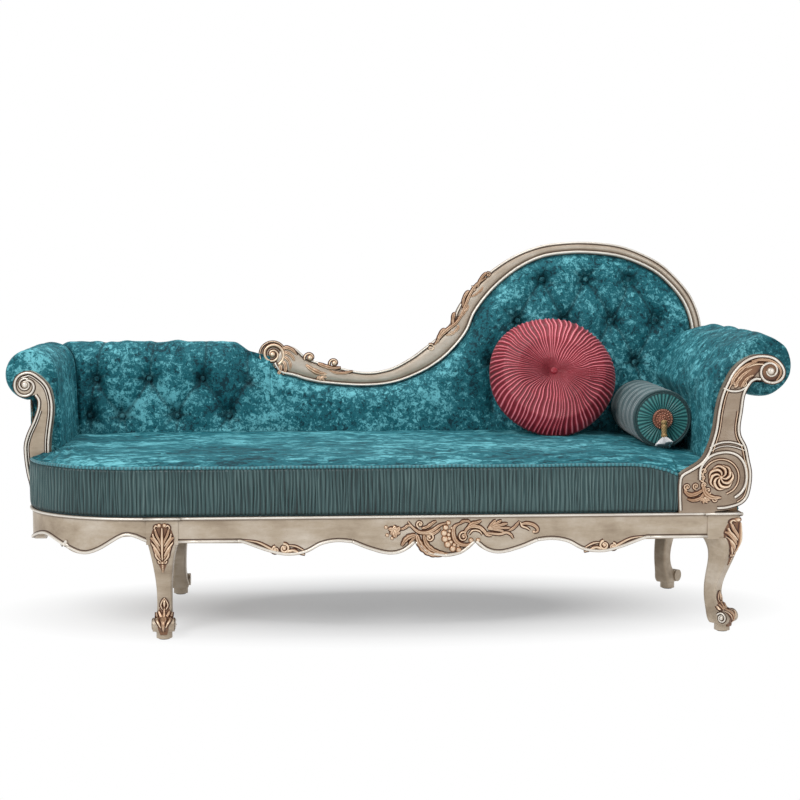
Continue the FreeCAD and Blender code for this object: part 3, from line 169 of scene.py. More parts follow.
# %% [markdown]
# ## Writing materials as sums
#
# A material is a net of nodes, but most of it is plain arithmetic. `Value` holds one socket and
# knows +, -, * and the rest, so `1 - mask * 0.4` adds its Math nodes by itself. Every other kind
# of node comes from the one method `node`, which sets the node's own settings first.

# %% Material tools
class Value:
    """A node's output that can be used in arithmetic."""

    def __init__(self, net, socket):
        self.net, self.socket = net, socket

    def math(self, operation, *others):
        node = self.net.tree.nodes.new("ShaderNodeMath")
        node.operation = operation
        for slot, value in zip(node.inputs, others):
            self.net.feed(slot, value)
        return Value(self.net, node.outputs[0])

    def __add__(self, other):
        return self.math("ADD", self, other)

    def __radd__(self, other):
        return self.math("ADD", other, self)

    def __sub__(self, other):
        return self.math("SUBTRACT", self, other)

    def __rsub__(self, other):
        return self.math("SUBTRACT", other, self)

    def __mul__(self, other):
        return self.math("MULTIPLY", self, other)

    def __rmul__(self, other):
        return self.math("MULTIPLY", other, self)

    def __pow__(self, other):
        return self.math("POWER", self, other)

    def __gt__(self, other):
        return self.math("GREATER_THAN", self, other)

    def clamp(self):
        return self.net.node("Clamp", value=self)


class Net:
    """One material, with one method that adds any node and a few for the common ones."""

    def __init__(self, name):
        self.material = bpy.data.materials.new(name)
        self.material.use_nodes = True
        self.tree = self.material.node_tree
        self.shader = self.tree.nodes["Principled BSDF"]
        self.places = self.node("TexCoord", output="Object")

    def feed(self, slot, value):
        if isinstance(value, Value):
            self.tree.links.new(value.socket, slot)
        else:
            slot.default_value = value

    def node(self, kind, settings=None, output=0, **inputs):
        """Add a node. Inputs are named in small letters with _ for a space."""
        node = self.tree.nodes.new("ShaderNode" + kind)
        for key, value in (settings or {}).items():
            setattr(node, key, value)
        for key, value in inputs.items():
            wanted = key.replace("_", " ").lower()
            slot = next(s for s in node.inputs if s.enabled and s.name.lower() == wanted)
            self.feed(slot, value)
        return Value(self, node.outputs[output])

    def noise(self, scale, detail=4.0, roughness=0.55, distortion=0.0, at=None):
        return self.node("TexNoise", vector=at or self.places, scale=scale, detail=detail,
            roughness=roughness, distortion=distortion)

    def stretched(self, scale):
        """The object's places, stretched differently along the three axes."""
        return self.node("Mapping", vector=self.places, scale=scale)

    def attribute(self, name):
        return self.node("Attribute", {"attribute_name": name}, output="Fac")

    def ramp(self, factor, stops):
        """Colours at places from 0 to 1, mixed between them."""
        node = self.tree.nodes.new("ShaderNodeValToRGB")
        elements = node.color_ramp.elements
        while len(elements) < len(stops):
            elements.new(0.5)
        for element, (at, colour) in zip(elements, stops):
            element.position = at
            element.color = (*colour, 1.0)
        self.feed(node.inputs[0], factor)
        return Value(self, node.outputs[0])

    def mix(self, factor, a, b):
        """Mix two colours."""
        node = self.tree.nodes.new("ShaderNodeMix")
        node.data_type = "RGBA"
        self.feed(node.inputs["Factor"], factor)
        colours = [s for s in node.inputs if s.type == "RGBA"]
        for slot, colour in zip(colours, (a, b)):
            self.feed(slot, colour if isinstance(colour, Value) else (*colour, 1.0))
        return Value(self, next(s for s in node.outputs if s.type == "RGBA"))

    def bump(self, height, distance, strength=1.0):
        value = self.node("Bump", height=height, distance=distance, strength=strength)
        self.feed(self.shader.inputs["Normal"], value)

    def set(self, **inputs):
        """Set the shader's own sockets, by number or by a link."""
        for key, value in inputs.items():
            self.feed(self.shader.inputs[key.replace("_", " ").title().replace("Ior", "IOR")], value)
        return self.material


print("material tools ready")

# %% [markdown]
# ## Velvet
#
# Crushed velvet looks mottled because its pile lies in patches that lean different ways. Each
# patch has a fairly sharp edge, so cells of random brightness, pushed about by noise, come closer
# than soft clouds would. Fine streaks and a slow change over the whole couch go on top. Sheen
# gives the pale rim that pile has where it turns away.

# %% Velvet materials
# The tone below is painted shade, towards which the velvet is mixed in pits, creases and seams.
PAINTED_SHADE_TONE = (0.0004, 0.010, 0.015)


def crushed_velvet(name, dark, middle, light, patch=92.0, stretch=(1, 1, 1)):
    net = Net(name)
    places = net.stretched(stretch)
    drift = net.noise(50.0, detail=5.0, roughness=0.64, distortion=1.1, at=places)
    push = net.node("VectorMath", {"operation": "SCALE"},
        vector=net.node("TexNoise", output=1, vector=places, scale=55.0, detail=3.0), scale=0.034)
    spot = net.node("VectorMath", {"operation": "ADD"})
    spot.net.feed(spot.socket.node.inputs[0], places)
    spot.net.feed(spot.socket.node.inputs[1], push)
    big = net.node("TexVoronoi", {"feature": "SMOOTH_F1"}, output=1, vector=spot, scale=patch,
        smoothness=0.25)
    small = net.node("TexVoronoi", {"feature": "SMOOTH_F1"}, output=1, vector=spot, scale=patch * 2.7,
        smoothness=0.3)
    slow = net.noise(7.0, detail=3.0, at=places)
    streak = net.noise(260.0, detail=3.0, roughness=0.7, at=places)
    pile = (net.node("RGBToBW", color=big) * 0.20 + net.node("RGBToBW", color=small) * 0.18 + drift * 0.56
        + slow * 0.52 + streak * 0.28 - 0.368)
    colour = net.ramp(pile, [(0.36, dark), (0.45, middle), (0.52, middle), (0.66, light)])
    # Painted shade: the pieces' fold number darkens the velvet in button pits, creases and seams.
    fold_shade = net.attribute("fold_shade")
    colour = net.mix((fold_shade * 0.95).clamp(), colour, PAINTED_SHADE_TONE)
    net.bump(pile * 0.6 + streak * 0.4, 0.0016, 0.5)
    net.shader.inputs["Sheen Tint"].default_value = (*light, 1.0)
    return net.set(base_color=colour, roughness=0.82 - pile * 0.25, sheen_weight=0.28, sheen_roughness=0.42,
        specular_ior_level=0.25)


TEAL_DARK, TEAL_MIDDLE, TEAL_LIGHT = (0.001, 0.030, 0.042), (0.006, 0.110, 0.138), (0.135, 0.450, 0.505)
velvet = crushed_velvet("teal_velvet", TEAL_DARK, TEAL_MIDDLE, TEAL_LIGHT)
seat_velvet = crushed_velvet("seat_velvet", TEAL_DARK, TEAL_MIDDLE, TEAL_LIGHT, stretch=(0.30, 1, 1))


def ruched_satin(name, dark, middle, light):
    """Satin gathered into folds; the piece's own attribute `ridge` says where a fold stands, and paints
    light and shade there.
    """
    net = Net(name)
    ridge = net.attribute("ridge")
    cloudy = net.noise(7.0, detail=2.0)
    thread = net.noise(900.0, detail=2.0)
    # Painted light: the ramp runs from shade in the folds to a highlight on the ridges.
    shade = ridge * 0.62 + cloudy * 0.42 + thread * 0.10 - 0.08
    colour = net.ramp(shade, [(0.18, dark), (0.5, middle), (0.88, light)])
    net.bump(thread, 0.0004, 0.4)
    return net.set(base_color=colour, roughness=0.46 - ridge * 0.08, sheen_weight=0.12, sheen_roughness=0.4)


band_satin = ruched_satin("band_satin", (0.004, 0.014, 0.015), (0.018, 0.058, 0.060), (0.10, 0.165, 0.162))
crimson = ruched_satin("crimson_satin", (0.060, 0.001, 0.005), (0.34, 0.006, 0.022), (0.95, 0.30, 0.35))
bolster_end = ruched_satin("bolster_end_satin", (0.004, 0.040, 0.045), (0.020, 0.165, 0.165),
    (0.13, 0.38, 0.35))


def twisted_cord(name, dark, light):
    """Piping: cloth wound aslant round a cord, with a fine weave. The attribute `ridge` paints light on each
    turn and shade between.
    """
    net = Net(name)
    weave = net.noise(700.0, detail=2.0)
    ridge = net.attribute("ridge")
    colour = net.ramp(weave * 0.4 + ridge * 0.6, [(0.15, dark), (0.8, light)])
    net.bump(weave, 0.0004, 0.4)
    return net.set(base_color=colour, roughness=0.55, sheen_weight=0.2)


teal_piping = twisted_cord("teal_piping", (0.004, 0.050, 0.062), (0.05, 0.26, 0.30))
dark_welt = twisted_cord("dark_welt", (0.002, 0.012, 0.015), (0.02, 0.075, 0.085))

# %% [markdown]
# ## Silver leaf, copper gilding, glaze and painted light
#
# The frame is laid with champagne silver and the carving with a redder leaf, then a brown glaze is
# rubbed over both and wiped off, so it stays in the hollows. The carved pieces below carry an
# attribute `height`, 0 at the ground and 1 on top, and the colour follows that: the glaze together
# with painted shade low down, and a painted highlight on the tops. On the plain rails only noise
# moves the tone, with small rubs where the leaf is thin.

# %% Leafed wood materials
def leafed(name, glaze_and_shade_colour, leaf, bright, metal, low=0.10, high=0.62):
    net = Net(name)
    height = net.attribute("height")
    cloud = net.noise(9.0, detail=4.0)
    grain = net.noise(60.0, detail=6.0, roughness=0.7, at=net.stretched((0.25, 1.0, 1.0)))
    speck = net.noise(420.0, detail=2.0)
    # Painted light: low places take the glaze colour, which stands for the glaze and for shade in the
    # hollows, and the tops a painted highlight.
    glaze_and_shade_level = height + (cloud - 0.5) * 0.35 + (grain - 0.5) * 0.25
    colour = net.ramp(glaze_and_shade_level, [(low, glaze_and_shade_colour), (high, leaf), (0.98, bright)])
    colour = net.mix(((speck > 0.66) * 0.25).clamp(), colour, glaze_and_shade_colour)
    net.bump(grain * 0.5 + speck * 0.3 + cloud * 0.4, 0.0010, 0.35)
    return net.set(base_color=colour, metallic=(height * metal).clamp(), roughness=0.50 - height * 0.14)


def plain_leaf(name, dull, leaf, bright, metal):
    """Leaf on a flat or turned surface, where no height is carved in."""
    net = Net(name)
    cloud = net.noise(6.0, detail=5.0, roughness=0.6)
    grain = net.noise(34.0, detail=6.0, roughness=0.68, at=net.stretched((0.22, 1.0, 1.0)))
    speck = net.noise(380.0, detail=2.0)
    tone = cloud * 0.62 + grain * 0.42 - 0.02
    colour = net.ramp(tone, [(0.26, dull), (0.50, leaf), (0.78, bright)])
    colour = net.mix(((speck > 0.68) * 0.3).clamp(), colour, dull)
    net.bump(grain * 0.6 + speck * 0.25, 0.0010, 0.35)
    return net.set(base_color=colour, metallic=metal, roughness=0.52 - cloud * 0.22)


champagne = plain_leaf("champagne_leaf", (0.22, 0.155, 0.10), (0.46, 0.375, 0.28), (0.74, 0.67, 0.58), 0.45)
champagne_carved = leafed("champagne_carved", (0.060, 0.030, 0.017), (0.44, 0.355, 0.27),
    (0.82, 0.77, 0.69), 0.5)
copper_gilt = leafed("copper_gilt", (0.070, 0.022, 0.009), (0.40, 0.215, 0.115), (0.84, 0.66, 0.48), 0.55,
    0.12, 0.74)
copper_bead = leafed("copper_bead", (0.06, 0.015, 0.008), (0.42, 0.16, 0.095), (0.85, 0.52, 0.40), 0.6)

print("velvet, satin and leaf materials:", len(bpy.data.materials))

# %% [markdown]
# ## Building by sections
#
# Nearly every piece here is a loft: closed rings of points, one after another, joined into a skin
# and capped at both ends. A padded arm, a moulding, a carved tendril and a cushion differ only in
# their rings. Each vertex may carry a number, such as the height that the glaze, the painted shade
# and the painted highlight follow.

# %% Mesh tools
def loft(rings, closed=False):
    """Vertices and faces of rings (count, points, 3); ends are capped unless the loft is closed."""
    count, around = rings.shape[:2]
    index = np.arange(count * around).reshape(count, around)
    if closed:
        index = np.vstack([index, index[:1]])
    a, b = index[:-1], index[1:]
    quads = np.stack([a, np.roll(a, -1, 1), np.roll(b, -1, 1), b], axis=-1).reshape(-1, 4)
    faces = quads.tolist()
    if not closed:
        faces += [index[0][::-1].tolist(), index[-1].tolist()]
    return rings.reshape(-1, 3), faces


def gather(parts):
    """Several (points, faces, numbers) as one."""
    points, faces, numbers, start = [], [], [], 0
    for part_points, part_faces, part_numbers in parts:
        points.append(part_points)
        numbers.append(np.broadcast_to(part_numbers, len(part_points)))
        faces += [[i + start for i in f] for f in part_faces]
        start += len(part_points)
    return np.vstack(points), faces, np.concatenate(numbers)


def number_layer(mesh, key, values):
    """Give every vertex of a mesh a number."""
    layer = mesh.attributes.new(key, "FLOAT", "POINT")
    layer.data.foreach_set("value", np.ascontiguousarray(values, dtype=np.float32).ravel())


def settle(name, mesh, body, replaces):
    """Link a mesh as a piece, on its body and in place of its CAD nodes."""
    piece = add_object(name, mesh)
    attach(piece, body)
    if replaces:
        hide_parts(*replaces)
    return piece


def make(name, points, faces, material, slot, body="root", attributes=None, replaces=()):
    """A mesh object in the frame: outward faces, smooth shading, its material and body. The slot is not
    used.
    """
    mesh = bpy.data.meshes.new(name)
    mesh.from_pydata(np.asarray(points).tolist(), [], faces)
    for key, values in (attributes or {}).items():
        number_layer(mesh, key, values)
    mesh.validate()
    outward(mesh)
    mesh.shade_smooth()
    mesh.materials.append(material)
    return settle(name, mesh, body, replaces)


def skin_piece(name, rings, *finish, put=place, **more):
    """Make a piece of one loft."""
    points, faces = loft(rings)
    return make(name, put(points), faces, *finish, **more)


def outward(mesh):
    """Turn each closed shell of a mesh so that its faces point outwards."""
    work = bmesh.new()
    work.from_mesh(mesh)
    bmesh.ops.recalc_face_normals(work, faces=work.faces)
    work.to_mesh(mesh)
    work.free()


def padded(piece):
    print(f"{piece.name}: {len(piece.data.polygons)} faces")
    return piece


print("mesh tools ready")

# %% [markdown]
# ## Deep buttoning
#
# A button pulls the velvet into a pit, and the cloth between two buttons folds into a crease.
# Between the creases the padding stands up as a pillow. Real diamonds are folded by hand, so each
# crease gets a little bow. The function returns how far the face sinks at each place, and how
# deep in a fold it lies, a number that paints shade into the velvet there.

# %% Buttoning
def segment_distance(u, v, a, b, bow=0.0):
    """Distance to a line from a to b that bows sideways, and the share along it."""
    along = np.array(b, float) - np.array(a, float)
    length = np.hypot(*along)
    ux, uy = along / length
    du, dv = u - a[0], v - a[1]
    t = np.clip((du * ux + dv * uy) / length, 0, 1)
    side = -du * uy + dv * ux + bow * 4 * t * (1 - t) * length
    over = (du * ux + dv * uy) - t * length
    return np.hypot(side, over), t


def tufting(u, v, buttons, creases, pit=17.0, crease=6.5, pillow=7.0, seed=1):
    """How far padding at (u, v) stands out, and how deep in a fold each place is, for painted shade."""
    rng = np.random.default_rng(seed)
    near = np.full(np.shape(u), 1e3)
    fold_shade = np.zeros(np.shape(u))
    sink = np.zeros(np.shape(u))
    for a, b in creases:
        distance, t = segment_distance(u, v, a, b, rng.uniform(-0.05, 0.05))
        tight = 1 - 0.40 * np.sin(pi * t)
        sink = np.maximum(sink, crease * tight * bell(distance, 6.5 + 5 * tight))
        fold_shade = np.maximum(fold_shade, tight * bell(distance, 4.0))
        near = np.minimum(near, distance)
    for bu, bv in buttons:
        du, dv = u - bu, v - bv
        r, angle = np.hypot(du, dv), np.arctan2(dv, du)
        star = np.cos(angle * 7 + rng.uniform(0, tau)) + 0.6 * np.cos(angle * 11 + rng.uniform(0, tau))
        sink = sink + pit * bell(r, 19) + 0.30 * pit * bell(r, 44) + 1.7 * star * bell(r - 26, 17)
        fold_shade = np.maximum(fold_shade, bell(r, 15) + 0.42 * np.clip(star, 0, 2) * bell(r - 24, 15))
        near = np.minimum(near, r)
    stand = pillow * ease(near / 55.0) - sink
    return stand, np.clip(fold_shade, 0, 1)


def pull_folds(u, v, seed, wavelength=34.0, height=1.6):
    """Soft, uneven folds running along v, as stretched velvet has."""
    rng = np.random.default_rng(seed)
    total = np.zeros(np.broadcast(u, v).shape)
    for _ in range(9):
        length = wavelength * rng.uniform(0.6, 2.2)
        slant, phase = rng.uniform(-0.25, 0.25), rng.uniform(0, tau)
        waver = phase + 1.2 * np.sin(v * tau / 420 + phase * 2)
        total += height * rng.uniform(0.15, 0.5) * np.sin((u + slant * v) * tau / length + waver)
    return total


print("buttoning ready")

# %% [markdown]
# ## The low back and the left arm
#
# On the real couch one long roll runs along the low back, turns the rear corner and comes forward
# as the left arm. Its section is a face that goes straight up from the seat and rolls over
# outwards. Carrying that section along the path gives the whole form; the buttoning is then a
# change of depth, so it never tears. The corner is where the upholsterer sews the two covers.

# %% Roll section
ROLL_RADIUS, ROLL_HEIGHT, FACE_DEPTH = 64.0, 650.0, 67.0
ROLL_X, ROLL_Y, TURN = -957.0, 627.0, 100.0
LOW_END = -342.0
ARM_START = 234.0
FOOT_HEIGHT = 318.0


def roll_section(count=86):
    """Places (inwards, up) round the roll: up the inner face, over the top and in beneath."""
    face_run = smooth([(FACE_DEPTH, FOOT_HEIGHT), (FACE_DEPTH, 430), (FACE_DEPTH + 1, 500),
        (FACE_DEPTH, 560), (FACE_DEPTH - 1, 600), (ROLL_RADIUS + 1, ROLL_HEIGHT)], 3.0)
    turn = np.linspace(0, radians(262), 60)
    roll_run = stack(ROLL_RADIUS * np.cos(turn), ROLL_HEIGHT + ROLL_RADIUS * np.sin(turn), 0)[:, :2]
    section, even = evenly(np.vstack([face_run[:-1], roll_run]), count)
    return section, rightward(heading(section)), even


SECTION, SECTION_NORMAL, SECTION_RUN = roll_section()


def roll_path(step=4.5):
    """The roll's centre line: forward part of the arm, the turn, the low back. With inward ways."""
    corner_y, corner_x = ROLL_Y - TURN, ROLL_X + TURN
    straight = np.arange(ARM_START, corner_y, step)
    arm = stack(ROLL_X, straight, 0)
    angle = np.linspace(0, pi / 2, 30)
    turn = stack(corner_x - TURN * np.cos(angle), corner_y + TURN * np.sin(angle), 0)
    run = np.arange(corner_x + step, LOW_END + 0.1, step)
    back = stack(run, ROLL_Y, 0)
    path = np.vstack([arm, turn, back])
    inward = np.vstack([np.tile((1.0, 0.0), (len(arm), 1)),
        np.stack([np.cos(angle), -np.sin(angle)], axis=1), np.tile((0.0, -1.0), (len(back), 1))])
    along = np.r_[0, np.cumsum(np.linalg.norm(np.diff(path, axis=0), axis=1))]
    return path, inward, along


ROLL_PATH, ROLL_INWARD, ROLL_ALONG = roll_path()
corner_at = int(np.argmin(np.abs(ROLL_ALONG - (ROLL_Y - TURN - ARM_START) - TURN * pi / 4)))


def section_run_at(height):
    """Distance round the section of a height on the inner face."""
    return height - FOOT_HEIGHT


def path_run_at(x):
    """Distance along the path of a place on the low back."""
    return float(np.interp(x, ROLL_PATH[corner_at:, 0], ROLL_ALONG[corner_at:]))


LOWER_BUTTONS = [(path_run_at(x), section_run_at(506)) for x in (-461, -607, -761)]
UPPER_BUTTONS = [(path_run_at(x), section_run_at(612)) for x in (-403, -534, -684, -831)]
CORNER_BUTTON = [(path_run_at(-852), section_run_at(506))]
low_buttons = CORNER_BUTTON + LOWER_BUTTONS[::-1] + UPPER_BUTTONS
creases = []
for bu, bv in CORNER_BUTTON + LOWER_BUTTONS:
    creases += [((bu, bv), (cu, cv)) for cu, cv in UPPER_BUTTONS if abs(cu - bu) < 110]
creases += [((cu, cv), (cu + 8 * k, cv + 150)) for k, (cu, cv) in enumerate(UPPER_BUTTONS)]
print("low back:", len(low_buttons), "buttons,", len(creases), "creases")

# %% [markdown]
# The two covers meet in a seam down the corner, where both dive into the padding. The end next to
# the crest's volute slopes down and tucks behind it, and the front end of the arm closes flat
# against its post, which stands proud of it.

# %% Left arm and low back pads
def roll_rings(first, last, seed):
    u = ROLL_ALONG[first:last + 1][:, None]
    v = SECTION_RUN[None, :]
    path, inward = ROLL_PATH[first:last + 1], ROLL_INWARD[first:last + 1]
    stand, fold_shade = tufting(u, v, low_buttons, creases, pit=25, crease=13, pillow=7, seed=seed)
    on_face = ease((SECTION_RUN - 60) / 60) * ease((360 - SECTION_RUN) / 120)
    stand = stand * (0.25 + 0.75 * on_face[None, :])
    stand += pull_folds(u, v, seed + 3, 46, 1.3) * ease(v / 80)
    from_seam = u - ROLL_ALONG[corner_at]
    seam = bell(from_seam, 9) + 0.35 * bell(from_seam, 34)
    stand -= 9.0 * seam * ease(v / 100)
    # Painted shade: the seam and the crease beside it are darkened as well as sunk in.
    fold_shade = np.maximum(fold_shade, 0.9 * bell(from_seam, 5))
    crease_side = bell(from_seam + 62 - 0.20 * v, 7) * ease((v - 20) / 60) * ease((260 - v) / 60)
    stand -= 4.5 * crease_side
    fold_shade = np.maximum(fold_shade, 0.5 * crease_side)
    edge = 1 - ease((u - ROLL_ALONG[0]) / 16)
    stand = stand * (1 - edge) - 3.0 * edge
    stand = np.clip(stand, -26, 9)
    down = 44.0 * ease((path[:, 0] - (LOW_END - 150)) / 150) ** 1.4
    shrink = 1 - 0.16 * ease((path[:, 0] - (LOW_END - 130)) / 130)
    inner = SECTION[None, :, 0] * np.ones((len(path), 1)) + SECTION_NORMAL[None, :, 0] * stand
    up = SECTION[None, :, 1] + SECTION_NORMAL[None, :, 1] * stand
    over = ease((up - 560) / 90)
    up = up - down[:, None] * over
    receding = ease((path[:, :1] - (LOW_END - 125)) / 88)
    high_face = 53.0 - 0.088 * (up - 440) - 2.5 * ease((path[:, :1] - (LOW_END - 30)) / 28)
    target = high_face + (8 - high_face) * ease((up - 643) / 22)
    inner = np.where(inner > target, inner + (target - inner) * receding, inner)
    inner = FACE_DEPTH + (inner - FACE_DEPTH) * np.where(inner < FACE_DEPTH, shrink[:, None], 1)
    x = path[:, :1] + inward[:, :1] * inner
    y = path[:, 1:2] + inward[:, 1:] * inner
    skin = stack(x, y, up)
    out, low = 3.0, 586.0
    closing = [stack(path[:, 0] + inward[:, 0] * out, path[:, 1] + inward[:, 1] * out, low - down * 0.7),
        stack(path[:, 0] + inward[:, 0] * out, path[:, 1] + inward[:, 1] * out, FOOT_HEIGHT)]
    rings = np.concatenate([skin, np.stack(closing, axis=1)], axis=1)
    fold_shades = np.concatenate([fold_shade, np.zeros((len(path), 2))], axis=1)
    return rings, fold_shades


def roll_pad(name, first, last, seed, replaces):
    rings, fold_shades = roll_rings(first, last, seed)
    piece = skin_piece(name, rings, velvet, "teal_velvet", attributes={"fold_shade": fold_shades},
        replaces=replaces)
    return padded(piece)


roll_pad("left_arm_padding", 0, corner_at, 11, ["left_arm_pad"])
roll_pad("low_back_padding", corner_at, len(ROLL_PATH) - 1, 11, ["low_back_pad"])

# %% [markdown]
# ## The high back
#
# The high back's padding fills the field under the crest. It is a height field on the leaning
# plane: crowned in the middle, tucked in behind the crest's edge, buttoned in three rows that
# stagger, and left smooth where the couch narrows to the left, where only pulled folds show.

# %% High back pad
CREST_MIDDLE = [(-592, 232), (-566, 220), (-532, 203), (-500, 190), (-444, 177), (-347, 164), (-267, 173),
    (-201, 201), (-154, 231), (-113, 264), (-72, 311), (-44, 370), (12, 437), (86, 494), (162, 528),
    (237, 540), (307, 541), (388, 532), (452, 511), (510, 480), (556, 438), (590, 394), (610, 348),
    (619, 302), (623, 240)]
CREST_WIDTHS = [56, 84, 68, 62, 56, 43, 46, 54, 60, 58, 54, 52, 48, 42, 37, 36, 36, 36, 35, 34, 33, 33, 33,
    33, 33]
crest_path = smooth(np.column_stack([CREST_MIDDLE, CREST_WIDTHS]), 5.0)
crest_up = -rightward(heading(crest_path[:, :2]))
crest_lower = crest_path[:, :2] - crest_up * crest_path[:, 2:] / 2
HIGH_LEFT, HIGH_RIGHT, PAD_LOW = LOW_END - BACK_X, 603.0, -42.0
HIGH_ROWS = {450: (169, 295, 421), 331: (95, 231, 368, 498), 211: (21, 160, 300, 436)}
high_buttons = [(x, h) for h, row in HIGH_ROWS.items() for x in row]


def crown_depth(x, h):
    """Depth of the plain crowned face, as in the frame's own padding."""
    up = 2600 - np.sqrt(2600.0 ** 2 - (h - 150) ** 2)
    return -50 + 9000 - np.sqrt((9000 - up) ** 2 - x ** 2)


def crest_edge_height(x):
    order = np.maximum.accumulate(crest_lower[:, 0] + np.arange(len(crest_lower)) * 1e-6)
    return np.interp(x, order, crest_lower[:, 1])


high_creases = [(a, b) for i, a in enumerate(high_buttons) for b in high_buttons[i + 1:]
    if abs(a[1] - b[1]) > 20 and np.hypot(a[0] - b[0], a[1] - b[1]) < 175]
high_creases += [((x, 211), (x + 10 * k, 70)) for k, x in enumerate(HIGH_ROWS[211])]


def high_pad_rings():
    x = np.r_[np.arange(HIGH_LEFT - 14, 540, 4.2), np.linspace(540, HIGH_RIGHT, 22)]
    share = np.linspace(0, 1, 130) ** 0.94
    top = crest_edge_height(x) + 4
    h = PAD_LOW + (top - PAD_LOW)[:, None] * share[None, :]
    wide = x[:, None] * np.ones_like(h)
    stand, fold_shade = tufting(wide, h, high_buttons, high_creases, pit=23, crease=11, pillow=7, seed=5)
    near_edge = np.full(h.shape, 1e3)
    for a, b in zip(crest_lower[::4], crest_lower[4::4]):
        near_edge = np.minimum(near_edge, segment_distance(wide, h, a, b)[0])
    aslant = pull_folds(wide * 0.7 + h * 0.7, h, 8, 60, 2.0)
    stand = stand * ease(near_edge / 60) + aslant * ease(near_edge / 90)
    plain = 1 - ease((wide - (HIGH_LEFT + 20)) / 300)
    stand = stand * (1 - plain) + plain * pull_folds(h, wide, 21, 52, 2.2) * ease(near_edge / 60)
    depth = crown_depth(wide, h) - stand
    depth = np.maximum(depth, -62)
    tuck = np.clip(near_edge / 46.0, 0, 1)
    roll_in = 1 - np.sqrt(np.clip(1 - (1 - tuck) ** 2, 0, 1))
    depth = depth + (-2 - depth) * roll_in * ease((share[None, :] - 0.3) / 0.3)
    ring = stack(wide, depth, h)
    back = [stack(x, -0.5, top), stack(x, -0.5, PAD_LOW)]
    rings = np.concatenate([ring, np.stack(back, axis=1)], axis=1)
    hidden_end = 9.0 * ease((HIGH_LEFT - 1 - x) / 12)
    rings[:, :-2, 1] += hidden_end[:, None]
    shadow = np.maximum(fold_shade, 0.55 * bell(near_edge, 7))
    return rings, np.concatenate([shadow, np.zeros((len(x), 2))], axis=1)


rings, fold_shades = high_pad_rings()
high_back = skin_piece("high_back_padding", rings, velvet, "teal_velvet",
    attributes={"fold_shade": fold_shades}, replaces=["high_back_pad"], put=raked)
padded(high_back)

# %% [markdown]
# ## The seat
#
# The seat is one crowned pad. Its top rolls over at the front to the piping, and its plan follows
# the rounded left corner. Each ring below is a slice from front to back, so the crown, the roll
# over the edge and the drop at the right-hand end are one formula along each slice. The pulled
# folds run lengthwise, with a gather where the cover is drawn round the left corner.

# %% Seat pad
RAIL_END, CORNER_REACH, CORNER_DEPTH = -955.0, 315.0, 230.0
PIPING_Z, PIPING_R, SEAT_BACK_Y = 435.0, 4.0, 560.0
BAND_STOP, SEAT_RIGHT, BAND_OUT = 696.0, 788.0, 4.0


def front_line(x, outset):
    """Depth of the seat's front edge at x: straight, then round the elliptical left corner."""
    middle = RAIL_END + CORNER_REACH
    reach, depth = CORNER_REACH + outset, CORNER_DEPTH + outset
    share = np.clip((middle - x) / reach, 0, 1)
    return np.where(x > middle, -outset, CORNER_DEPTH - depth * np.sqrt(1 - share ** 2))


def piping_height(x):
    """The piping runs level, with a slight sag, and dips before the right-hand post."""
    dip = np.interp(x, [BAND_STOP - 112, BAND_STOP - 70, BAND_STOP - 30, BAND_STOP], [0, -3, -13, -26])
    return PIPING_Z + dip


